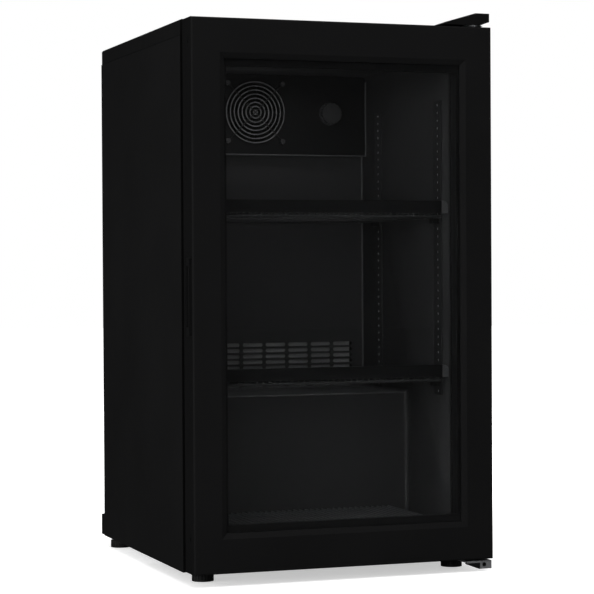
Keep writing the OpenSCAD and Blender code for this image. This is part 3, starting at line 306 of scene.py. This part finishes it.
def foam(name, pale, deep, cell=500.0, seal_y=-1.0):
    """Foam with a fine cell structure and a mottled tone, under black sealant in front of seal_y."""
    s = Shader(name, 0.9, 0.1)
    cells = s.voronoi(cell)
    tone = s.ranged(s.noise(25.0, 4.0), 0.0, 1.0)
    split = s.new("ShaderNodeSeparateXYZ")
    s.link(s.coord, split.inputs["Vector"])
    sealed = s.math("LESS_THAN", split.outputs["Y"], seal_y)
    s.colour(s.mixed(sealed, s.mixed(tone, pale, deep), grey(0.004)))
    s.bump(cells, 0.5, 0.0006)
    return s.mat


def copper_tube(name, sleeve_z):
    """Tarnished copper, in a black foam sleeve above a height."""
    s = Shader(name, 0.32, 0.5)
    split = s.new("ShaderNodeSeparateXYZ")
    s.link(s.coord, split.inputs["Vector"])
    sleeved = s.math("GREATER_THAN", split.outputs["Z"], sleeve_z)
    bare = s.math("SUBTRACT", 1.0, sleeved)
    stain = s.ranged(s.noise(55.0, 5.0), 0.0, 1.0, 0.4, 0.7)
    metal = s.mixed(stain, (0.78, 0.42, 0.27), (0.42, 0.2, 0.12))
    s.colour(s.mixed(sleeved, metal, grey(0.006)))
    s.link(bare, s.bsdf.inputs["Metallic"])
    s.roughness(s.math("MAXIMUM", s.ranged(s.noise(80.0, 4.0), 0.25, 0.5), sleeved))
    s.bump(s.noise(300.0, 2.0), 0.1, 0.0002)
    return s.mat


def clear_pane(name):
    """Float glass that bends little and lets lamps through, with the faintest surface waves."""
    s = Shader(name, 0.0, 0.5, 0.0, 1.45)
    s.bsdf.inputs["Transmission Weight"].default_value = 1.0
    s.colour((0.97, 0.975, 0.975))
    s.bump(s.noise(3.0, 1.0), 0.02, 0.001)
    clear = s.new("ShaderNodeBsdfTransparent")
    clear.inputs["Color"].default_value = (0.94, 0.95, 0.95, 1)
    path = s.new("ShaderNodeLightPath")
    mix = s.new("ShaderNodeMixShader")
    s.link(path.outputs["Is Shadow Ray"], mix.inputs["Fac"])
    s.link(s.bsdf.outputs["BSDF"], mix.inputs[1])
    s.link(clear.outputs["BSDF"], mix.inputs[2])
    s.link(mix.outputs["Shader"], s.out.inputs["Surface"])
    return s.mat


COAT = powder_coat("black_coat", 0.0064)
# The door's convex edges are darkened to 0.65: painted shade that holds down the highlight on its
# rounded edges.
DOOR = moulded("door_plastic", 0.0046, 0.6, 0.05, 1400.0, 0.65)
CAP = moulded("cap_plastic", 0.003)
COVER = moulded("cover_plastic", 0.0056, 0.6)
PLASTIC = moulded("black_plastic", 0.005)
FAN_PANEL = moulded("fan_panel_plastic", 0.006)
KNOB = moulded("knob_plastic", 0.022, 0.4, 0.2, 900.0)
RAIL = moulded("rail_plastic", 0.0035, 0.6, 0.05, 1400.0, 1.1)
RAIL_CAP = moulded("rail_cap_plastic", 0.045, 0.45)
LINER = formed_liner("liner_plastic", 0.014)
SHEET = powder_coat("duct_sheet", 0.021, 0.45)
PILASTER = powder_coat("pilaster_sheet", 0.017, 0.4)
WIRE = powder_coat("wire_coat", 0.022, 0.4, 0.1)
RACK = powder_coat("rack_coat", 0.05, 0.35, 0.25)
CLIP = powder_coat("clip_coat", 0.009, 0.4)
SCREW = powder_coat("screw_coat", 0.03, 0.35, 0.3)
BLACK_SCREW = moulded("black_screw", 0.002, 0.6, 0.05)
SPACER = powder_coat("spacer_coat", 0.003, 0.5, 0.05)
GUARD = guard_wire(
    "guard_wire", 0.08, (guard_low + guard_high) / 2, (guard_high.z - guard_low.z) / 2 - 0.5 * MM)
ZINC = plated("zinc_plate", (0.66, 0.67, 0.69))
BRACKET = plated("bracket_zinc", (0.17, 0.172, 0.178), 0.4, metal=0.45)
STEEL = plated("bright_steel", (0.56, 0.57, 0.6), 0.28)
ALLOY = plated("mill_alloy", (0.8, 0.81, 0.83), 0.3, (40.0, 900.0, 900.0))
FIN = plated("fin_sheet", (0.75, 0.77, 0.8), 0.35, (200.0, 900.0, 900.0))
COPPER = copper_tube("copper_tube", sleeve_z)
RUBBER = rubber("soft_rubber", 0.003, 0.8, 1.4)
# A near-black copy of soft_rubber: painted shade in the gap between door and cabinet, on the seal, the
# flange strip and the cover's seam.
SHADE_RUBBER = rubber("gap_shade_rubber", 0.0006, 0.9, 1.2)
COIL = powder_coat("coil_coat", 0.004)
FOOT = rubber("foot_rubber", 0.006, 0.6)
# Pale grey beads: partly sealant, partly painted highlight on the corners that they run along.
SEALANT_HIGHLIGHT = rubber("pale_sealant_highlight", 0.06, 0.35, 1.4)
PU_FOAM = foam("rigid_foam", (0.68, 0.56, 0.3), (0.52, 0.4, 0.18), seal_y=sealed_y)
CORE_FOAM = foam("core_foam", (0.016, 0.016, 0.016), (0.01, 0.01, 0.01))
DUCT_FOAM = foam("duct_foam", (0.14, 0.14, 0.14), (0.1, 0.1, 0.1), 320.0)
# Pale strips behind the pilaster holes: painted light, so that the holes read as lit openings.
HOLE_LIGHT_STRIP = moulded("hole_light_plastic", 0.5, 0.5, 0.3)
GLASS = clear_pane("toughened_glass")

NODE_MATERIALS = {
    "left_side_panel": COAT, "right_side_panel": COAT, "rear_panel": COAT, "top_cover": COVER,
    "base_pan": COAT, "bay_panel": ZINC, "insulation_left": PU_FOAM,
    "insulation_right": PU_FOAM, "insulation_top": PU_FOAM, "insulation_rear": PU_FOAM,
    "insulation_floor": PU_FOAM, "inner_liner": LINER, "breaker_frame": PLASTIC,
    "duct_panel": SHEET, "duct_insert": DUCT_FOAM, "fan_panel": FAN_PANEL,
    "panel_screws": SCREW, "evaporator_coil": COIL, "evaporator_fan_frame": PLASTIC,
    "evaporator_fan_rotor": PLASTIC, "fan_guard": GUARD, "fan_shafts": STEEL,
    "thermostat_body": PLASTIC, "thermostat_knob": KNOB, "pilasters": PILASTER,
    "pilaster_strips": HOLE_LIGHT_STRIP, "shelf_clips": CLIP, "upper_shelf": WIRE,
    "upper_price_rail": RAIL, "lower_shelf": WIRE, "lower_price_rail": RAIL,
    "floor_rack": RACK, "bay_base_plate": ZINC, "compressor": COAT,
    "compressor_grommets": RUBBER, "compressor_bolts": ZINC, "condenser_coil": COAT,
    "condenser_fan_frame": PLASTIC, "condenser_fan_rotor": ALLOY, "refrigerant_lines": COPPER,
    "drip_tray": PLASTIC, "rear_grille": COAT, "inlet_gland": RUBBER, "rear_spacers": PLASTIC,
    "top_hinge_plate": ZINC, "hinge_cap": CAP, "bottom_hinge_bracket": BRACKET,
    "hinge_foot_cover": PLASTIC, "hinge_pins": STEEL, "door_frame": DOOR,
    "door_core": CORE_FOAM, "door_inner_frame": PLASTIC, "glass_panes": GLASS,
    "glass_spacer": SPACER, "door_gasket": RUBBER, "door_fittings": PLASTIC,
    "foot_front_left": FOOT, "foot_front_right": FOOT, "foot_rear_left": FOOT,
    "foot_rear_right": FOOT,
}


def dress(name, material):
    data = nodes[name].data
    data.materials.clear()
    data.materials.append(material)


for node_name, node_material in NODE_MATERIALS.items():
    dress(node_name, node_material)


# Pieces: shapes finer than the CAD solids, each placed from the nodes that it belongs to

def finish_piece(obj, material, body):
    """Give a new object its material and its CAD body."""
    obj.data.materials.append(material)
    bpy.context.scene.collection.objects.link(obj)
    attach(obj, body)


def mesh_piece(name, shape, material, body, crease=35):
    """Turn a finished bmesh into a smooth piece that keeps the edges sharper than crease degrees."""
    mesh = bpy.data.meshes.new(name)
    shape.to_mesh(mesh)
    shape.free()
    for face in mesh.polygons:
        face.use_smooth = True
    mesh.set_sharp_from_angle(angle=math.radians(crease))
    obj = bpy.data.objects.new(name, mesh)
    finish_piece(obj, material, body)
    return obj


def bead_piece(name, runs, radius, material, body):
    """Round beads or wires, one along each run of points."""
    curve = bpy.data.curves.new(name, "CURVE")
    curve.dimensions = "3D"
    curve.bevel_depth = radius
    curve.bevel_resolution = 3
    curve.use_fill_caps = True
    for run in runs:
        spline = curve.splines.new("POLY")
        spline.points.add(len(run) - 1)
        for point, place in zip(spline.points, run):
            point.co = (*place, 1)
    obj = bpy.data.objects.new(name, curve)
    finish_piece(obj, material, body)


def rounded_liner():
    """One vacuum-formed shell with a step at the back, open at the front, with rounded corners."""
    wall = 1.2 * MM
    corner = 9 * MM
    inside_x = liner_high.x - wall
    floor_z = liner_low.z + wall
    ceiling_z = liner_high.z - wall
    back_y = liner_high.y - wall
    outline = [
        (liner_low.y, floor_z), (step_face_y, floor_z), (step_face_y, step_top_z), (back_y, step_top_z),
        (back_y, ceiling_z), (liner_low.y, ceiling_z),
    ]
    shape = bmesh.new()
    left = [shape.verts.new((-inside_x, y, z)) for y, z in outline]
    right = [shape.verts.new((inside_x, y, z)) for y, z in outline]
    left_wall = shape.faces.new(left)
    shape.faces.new(list(reversed(right)))
    for i in range(len(outline) - 1):
        shape.faces.new((left[i + 1], left[i], right[i], right[i + 1]))
    bmesh.ops.recalc_face_normals(shape, faces=shape.faces)
    if left_wall.normal.x < 0:
        bmesh.ops.reverse_faces(shape, faces=shape.faces)
    # The normals face the room now, so its hollow corners are the edges that are not convex
    corners = [edge for edge in shape.edges if not edge.is_boundary and not edge.is_convex]
    bmesh.ops.bevel(shape, geom=corners, offset=corner, segments=5, profile=0.5, affect="EDGES")
    liner = mesh_piece("liner_shell", shape, LINER, "cabinet")
    shell = liner.modifiers.new("wall", "SOLIDIFY")
    shell.thickness = wall
    shell.offset = -1
    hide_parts("inner_liner")


def swept_frame(shape, section, half_x, z0, z1):
    """Sweep a closed section round an upright rectangle with mitred corners.

    A section point is (out, y): out from the rectangle's line, and the depth.
    """
    corners = [(-1, -1), (1, -1), (1, 1), (-1, 1)]
    rings = []
    for sx, sz in corners:
        z = z1 if sz > 0 else z0
        rings.append([shape.verts.new((sx * (half_x + out), y, z + sz * out)) for out, y in section])
    count = len(section)
    for c in range(4):
        here, there = rings[c], rings[(c + 1) % 4]
        for i in range(count):
            j = (i + 1) % count
            shape.faces.new((here[i], here[j], there[j], there[i]))
    bmesh.ops.recalc_face_normals(shape, faces=shape.faces)


def bellows_gasket():
    """Magnetic seal: a flat face on a box for the magnet, two folds, and a foot pressed in the door.

    A point of side is (out in mm, share of the depth).
    """
    low, high = node_box("door_gasket")
    half_width = 8 * MM
    front = low.y
    depth = high.y - front
    side = [
        (7.6, 0.0), (7.6, 0.14), (4.2, 0.2), (7.2, 0.3), (3.8, 0.42), (7.4, 0.54), (7.9, 0.62),
        (7.9, 0.94), (7.3, 1.0),
    ]
    outer = [(out * MM, front + depth * at) for out, at in side]
    inner = [(-out * MM, y) for out, y in reversed(outer)]
    shape = bmesh.new()
    swept_frame(
        shape, outer + inner, high.x - half_width, low.z + half_width, high.z - half_width)
    seal = mesh_piece("gasket_bellows", shape, SHADE_RUBBER, "door", 50)
    soft = seal.modifiers.new("round", "BEVEL")
    soft.width = 0.5 * MM
    soft.segments = 2
    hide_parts("door_gasket")


def gap_shade_strip():
    """Near-black strip on the cabinet's front flange, which the door's magnetic seal closes on: painted
    shade that keeps the gap between door and cabinet dark.
    """
    width = 11 * MM
    thick = 0.3 * MM
    edge = 0.6 * MM
    below_top = 3 * MM
    back = side_low.y
    front = back - thick
    section = [(0, back), (0, front), (-width, front), (-width, back)]
    shape = bmesh.new()
    swept_frame(shape, section, -side_low.x - edge, side_low.z + edge, cover_high.z - below_top)
    mesh_piece("gap_shade_strip", shape, SHADE_RUBBER, "cabinet")


def fin_pack(name, node, pitch, material):
    """Thin corrugated fins between the coil's end plates."""
    low, high = node_box(node)
    inset = Vector((4, 0.5, 1)) * MM
    first, last = low + inset, high - inset
    middle_y = 0.5 * (low.y + high.y)
    count = int((last.x - first.x) / pitch)
    waves = 14
    height = 0.35 * MM
    shape = bmesh.new()
    for i in range(count):
        x = first.x + (i + 0.5) * (last.x - first.x) / count
        strip = []
        for j in range(waves + 1):
            z = first.z + j * (last.z - first.z) / waves
            sway = height if j % 2 else -height
            strip.append((
                shape.verts.new((x + sway, first.y, z)),
                shape.verts.new((x - sway, middle_y, z)),
                shape.verts.new((x + sway, last.y, z)),
            ))
        for lower, upper in zip(strip, strip[1:]):
            shape.faces.new((lower[0], lower[1], upper[1], upper[0]))
            shape.faces.new((lower[1], lower[2], upper[2], upper[1]))
    fins = mesh_piece(name, shape, material, "cabinet", 10)
    sheet = fins.modifiers.new("sheet", "SOLIDIFY")
    sheet.thickness = 0.2 * MM
    sheet.offset = 0


def duct_highlight_beads():
    """Pale bead of sealant along the edges where the duct plates meet the liner: partly sealant, partly
    a painted highlight along those corners.
    """
    inset = 0.8 * MM
    proud = 0.2 * MM
    x = fan_high.x - inset
    front = fan_low.y - proud
    plate = duct_low.y - proud
    turn_z = fan_low.z
    top_z = fan_high.z - 9 * MM
    upper = [(-x, front, top_z), (-x, front, turn_z), (x, front, turn_z), (x, front, top_z)]
    sides = [[(at, plate, turn_z), (at, plate, duct_low.z + 2 * MM)] for at in (-x, x)]
    foot = [(-x, plate, duct_low.z + inset), (x, plate, duct_low.z + inset)]
    bead_piece("duct_highlight_beads", [upper, *sides, foot], 1.3 * MM, SEALANT_HIGHLIGHT, "cabinet")


def cover_shade_seam():
    """Dark bead in the joint where the top cover stands in from the side and rear panels: partly a
    sealed joint, partly painted shade along the ledge's shadow line.
    """
    radius = 1.0 * MM
    inset = radius + 0.1 * MM
    x = -side_low.x - inset
    z = cover_low.z + 0.3 * MM
    front = cover_low.y + 1 * MM
    back = cover_high.y - inset
    run = [(-x, front, z), (-x, back, z), (x, back, z), (x, front, z)]
    bead_piece("cover_shade_seam", [run], radius, SHADE_RUBBER, "cabinet")


def step_highlight_trim():
    """Thin pale finishing beads along the step in the liner: its upper edge, and down its right corner.
    They are partly sealant and partly painted highlight lines on those edges.
    """
    left = liner_low.x + 8 * MM
    right = liner_high.x - 2 * MM
    edge = [(left, step_face_y, step_top_z), (right, step_face_y, step_top_z)]
    x = right - 2 * MM
    y = step_face_y - 0.5 * MM
    down = [(x, y, step_top_z - 6 * MM), (x, y, liner_low.z + 9 * MM)]
    bead_piece("step_highlight_beads", [edge, down], 1.1 * MM, SEALANT_HIGHLIGHT, "cabinet")


def rail_caps(name, rail, body):
    """Moulded end caps pushed over both ends of a price rail."""
    low, high = node_box(rail)
    length = 11 * MM
    end_wall = 0.1 * MM
    lip = 0.25 * MM
    round_top = 8 * MM
    steps = 6
    shape = bmesh.new()
    for side in (-1, 1):
        tip = side * (high.x + end_wall)
        root = side * (high.x - length)
        section = [(low.z - lip, root), (low.z - lip, tip), (high.z - round_top, tip)]
        for step in range(1, steps + 1):
            angle = math.radians(90 * step / steps)
            section.append((high.z + lip - round_top + round_top * math.sin(angle),
                            tip - side * round_top * (1 - math.cos(angle))))
        section.append((high.z + lip, root))
        front = [shape.verts.new((x, low.y - lip, z)) for z, x in section]
        rear = [shape.verts.new((x, high.y + lip, z)) for z, x in section]
        shape.faces.new(front)
        shape.faces.new(list(reversed(rear)))
        for i in range(len(section)):
            j = (i + 1) % len(section)
            shape.faces.new((front[i], rear[i], rear[j], front[j]))
    bmesh.ops.recalc_face_normals(shape, faces=shape.faces)
    caps = mesh_piece(name, shape, RAIL_CAP, body)
    soft = caps.modifiers.new("round", "BEVEL")
    soft.width = 0.4 * MM
    soft.segments = 2


def screw_head(shape, place, outward, radius, rise):
    """Domed head with a cross recess, standing on a face along outward."""
    sides = 24
    quarter = sides // 4
    dome = [(1.0, 0.0), (1.0, 0.3), (0.92, 0.62), (0.72, 0.88), (0.5, 1.0)]
    recess_arm, recess_waist, recess_level = 0.42, 0.14, 0.35
    turn = Vector((0, 0, 1)).rotation_difference(outward).to_matrix()

    def ring(reaches, level):
        verts = []
        for i, reach in enumerate(reaches):
            angle = 2 * math.pi * i / sides
            spot = Vector((
                reach * radius * math.cos(angle), reach * radius * math.sin(angle), level * rise))
            verts.append(shape.verts.new(place + turn @ spot))
        return verts

    rings = [ring([reach] * sides, level) for reach, level in dome]
    on_arm = (0, 1, quarter - 1)
    cross = [recess_arm if i % quarter in on_arm else recess_waist for i in range(sides)]
    rings.append(ring(cross, recess_level))
    for lower, upper in zip(rings, rings[1:]):
        for i in range(sides):
            j = (i + 1) % sides
            shape.faces.new((lower[i], lower[j], upper[j], upper[i]))
    shape.faces.new(rings[-1])


def screw_piece(name, heads, radius, rise, body):
    """Screw heads as one piece, each from its place and the way that it faces."""
    shape = bmesh.new()
    for place, outward in heads:
        screw_head(shape, Vector(place), Vector(outward), radius, rise)
    bmesh.ops.recalc_face_normals(shape, faces=shape.faces)
    mesh_piece(name, shape, BLACK_SCREW, body, 30)


def lip_screw():
    """Screw in the drilled lip of the lower hinge bracket."""
    from_side = 14 * MM
    below_cabinet = 6 * MM
    lip_y = node_box("bottom_hinge_bracket")[0].y
    place = (door_high.x - from_side, lip_y, side_low.z - below_cabinet)
    screw_piece("lip_screw", [(place, (0, -1, 0))], 3.2 * MM, 1.4 * MM, "cabinet")


def edge_screws():
    """Black screw heads on the fittings in both edges of the door, sunk in their holes."""
    sunk = 0.6 * MM
    from_front = 19 * MM
    upper_raise = 16 * MM
    heads = []
    for z in (door_low.z + STILE, door_high.z - STILE + upper_raise):
        for side in (-1, 1):
            place = (side * (door_high.x - sunk), door_low.y + from_front, z)
            heads.append((place, (side, 0, 0)))
    screw_piece("edge_screws", heads, 3.0 * MM, 0.5 * MM, "door")


rounded_liner()
bellows_gasket()
gap_shade_strip()
fin_pack("evaporator_fins", "evaporator_coil", 3 * MM, COIL)
fin_pack("condenser_fins", "condenser_coil", 2.5 * MM, FIN)
duct_highlight_beads()
step_highlight_trim()
cover_shade_seam()
lip_screw()
edge_screws()
rail_caps("upper_rail_caps", "upper_price_rail", "shelf_upper")
rail_caps("lower_rail_caps", "lower_price_rail", "shelf_lower")


# Studio: a pale floor, a surround that is white to the camera and dark in mirrors, and soft boxes

FLOOR_NEAR = 0.5  # glow of the floor beside the object, which rises to 1 further away
FLOOR_FADE = (0.3, 1.1)  # distances from the object between which it rises
WORLD_FILL = 0.5  # light from the surround
MIRROR_FILL = 0.012  # what the surround shows in mirrors


class StageTree:
    """A node tree for the floor or the world, with the tests of light paths that both need."""

    def __init__(self, tree, output):
        self.tree = tree
        tree.nodes.clear()
        self.out = tree.nodes.new(output)
        self.path = tree.nodes.new("ShaderNodeLightPath")

    def math(self, kind, a, b):
        node = self.tree.nodes.new("ShaderNodeMath")
        node.operation = kind
        for socket, value in zip(node.inputs, (a, b)):
            if isinstance(value, (int, float)):
                socket.default_value = value
            else:
                self.tree.links.new(value, socket)
        return node.outputs["Value"]

    def straight(self, own_depth):
        """1 on a ray from the camera that has met nothing, or only passed through glass.

        own_depth is what the renderer counts for the shader itself: 0 for a surface, 1 for the world.
        """
        bounces = self.math(
            "SUBTRACT", self.path.outputs["Ray Depth"], self.path.outputs["Transmission Depth"])
        unbent = self.math("LESS_THAN", bounces, own_depth + 0.5)
        through = self.math("MULTIPLY", unbent, self.path.outputs["Is Transmission Ray"])
        return self.math("MAXIMUM", through, self.path.outputs["Is Camera Ray"])

    def mirrored(self):
        """1 on a ray that comes from the camera by way of shiny or clear surfaces only."""
        shiny = self.math(
            "MAXIMUM", self.path.outputs["Is Glossy Ray"], self.path.outputs["Is Transmission Ray"])
        direct = self.math("LESS_THAN", self.path.outputs["Diffuse Depth"], 0.5)
        return self.math("MULTIPLY", shiny, direct)

    def emitter(self, kind, level):
        node = self.tree.nodes.new(kind)
        node.inputs["Color"].default_value = (level, level, level, 1)
        return node

    def mixed(self, factor, first, second):
        node = self.tree.nodes.new("ShaderNodeMixShader")
        self.tree.links.new(factor, node.inputs["Fac"])
        self.tree.links.new(first, node.inputs[1])
        self.tree.links.new(second, node.inputs[2])
        return node.outputs["Shader"]

    def surface(self, shader):
        self.tree.links.new(shader, self.out.inputs["Surface"])


def studio_floor():
    """A pale disc that keeps the shadow near the object and whitens away from it."""
    mesh = bpy.data.meshes.new("floor")
    shape = bmesh.new()
    bmesh.ops.create_circle(shape, cap_ends=True, segments=96, radius=14)
    shape.to_mesh(mesh)
    shape.free()
    floor = bpy.data.objects.new("floor", mesh)
    bpy.context.scene.collection.objects.link(floor)
    floor.location.z = -0.3 * MM
    mesh.materials.append(floor_material())


def floor_material():
    """Mirrors meet a dark floor, so that the black door stays black."""
    mat = bpy.data.materials.new("studio_floor")
    mat.use_nodes = True
    t = StageTree(mat.node_tree, "ShaderNodeOutputMaterial")
    pale = t.emitter("ShaderNodeBsdfDiffuse", 0.9)
    dark = t.emitter("ShaderNodeBsdfDiffuse", 0.02)
    glow = t.emitter("ShaderNodeEmission", 1.0)
    coord = t.tree.nodes.new("ShaderNodeTexCoord")
    length = t.tree.nodes.new("ShaderNodeVectorMath")
    length.operation = "LENGTH"
    t.tree.links.new(coord.outputs["Object"], length.inputs[0])
    fade = t.tree.nodes.new("ShaderNodeMapRange")
    fade.interpolation_type = "SMOOTHSTEP"
    fade.inputs["From Min"].default_value = FLOOR_FADE[0]
    fade.inputs["From Max"].default_value = FLOOR_FADE[1]
    fade.inputs["To Min"].default_value = FLOOR_NEAR
    t.tree.links.new(length.outputs["Value"], fade.inputs["Value"])
    t.tree.links.new(fade.outputs["Result"], glow.inputs["Strength"])
    lit = t.tree.nodes.new("ShaderNodeAddShader")
    t.tree.links.new(pale.outputs["BSDF"], lit.inputs[0])
    t.tree.links.new(glow.outputs["Emission"], lit.inputs[1])
    plain = t.mixed(t.mirrored(), pale.outputs["BSDF"], dark.outputs["BSDF"])
    t.surface(t.mixed(t.straight(0), plain, lit.outputs["Shader"]))
    return mat


def studio_world():
    """White behind everything the camera sees, a soft grey for the light that reaches the object."""
    world = bpy.data.worlds.new("studio")
    bpy.context.scene.world = world
    world.use_nodes = True
    t = StageTree(world.node_tree, "ShaderNodeOutputWorld")
    seen = t.emitter("ShaderNodeBackground", 1.0)
    fill = t.emitter("ShaderNodeBackground", WORLD_FILL)
    dim = t.emitter("ShaderNodeBackground", MIRROR_FILL)
    plain = t.mixed(t.mirrored(), fill.outputs["Background"], dim.outputs["Background"])
    t.surface(t.mixed(t.straight(1), plain, seen.outputs["Background"]))


def soft_box(name, place, target, size, power, hidden=False):
    """A rectangular lamp. A hidden one lights the object but shows in no mirror, glass or picture."""
    data = bpy.data.lights.new(name, "AREA")
    data.shape = "RECTANGLE"
    data.size = size[0]
    data.size_y = size[1]
    data.energy = power
    lamp = bpy.data.objects.new(name, data)
    lamp.location = place
    lamp.visible_camera = lamp.visible_transmission = lamp.visible_glossy = not hidden
    lamp.rotation_euler = (Vector(target) - Vector(place)).to_track_quat("-Z", "Y").to_euler()
    bpy.context.scene.collection.objects.link(lamp)


studio_floor()
studio_world()
soft_box("key", (-1.9, -3.3, 0.8), (0, 0, 0.35), (1.6, 1.4), 32)
soft_box("side", (-3.6, -0.4, 0.9), (0, 0, 0.4), (2.0, 1.6), 58)
soft_box("top", (0, -1.7, 3.3), (0, 0, 0.3), (2.4, 2.0), 58)
soft_box("right", (3.4, 0.4, 1.4), (0, 0, 0.45), (2.0, 2.0), 30)
soft_box("rear", (0.6, 3.6, 1.4), (0, 0, 0.45), (2.0, 2.0), 40, True)
soft_box("cabinet_fill", (0, liner_low.y + 32 * MM, 0.58), (0, 1, 0.58), (0.2, 0.44), 0.26, True)
soft_box("cabinet_top", (-0.03, 0.05, fan_high.z - 25 * MM), (-0.03, 0.05, 0), (0.24, 0.08), 0.22, True)
soft_box("ceiling_fill", (-0.08, -0.04, 0.63), (-0.08, -0.04, 1), (0.15, 0.12), 0.25, True)
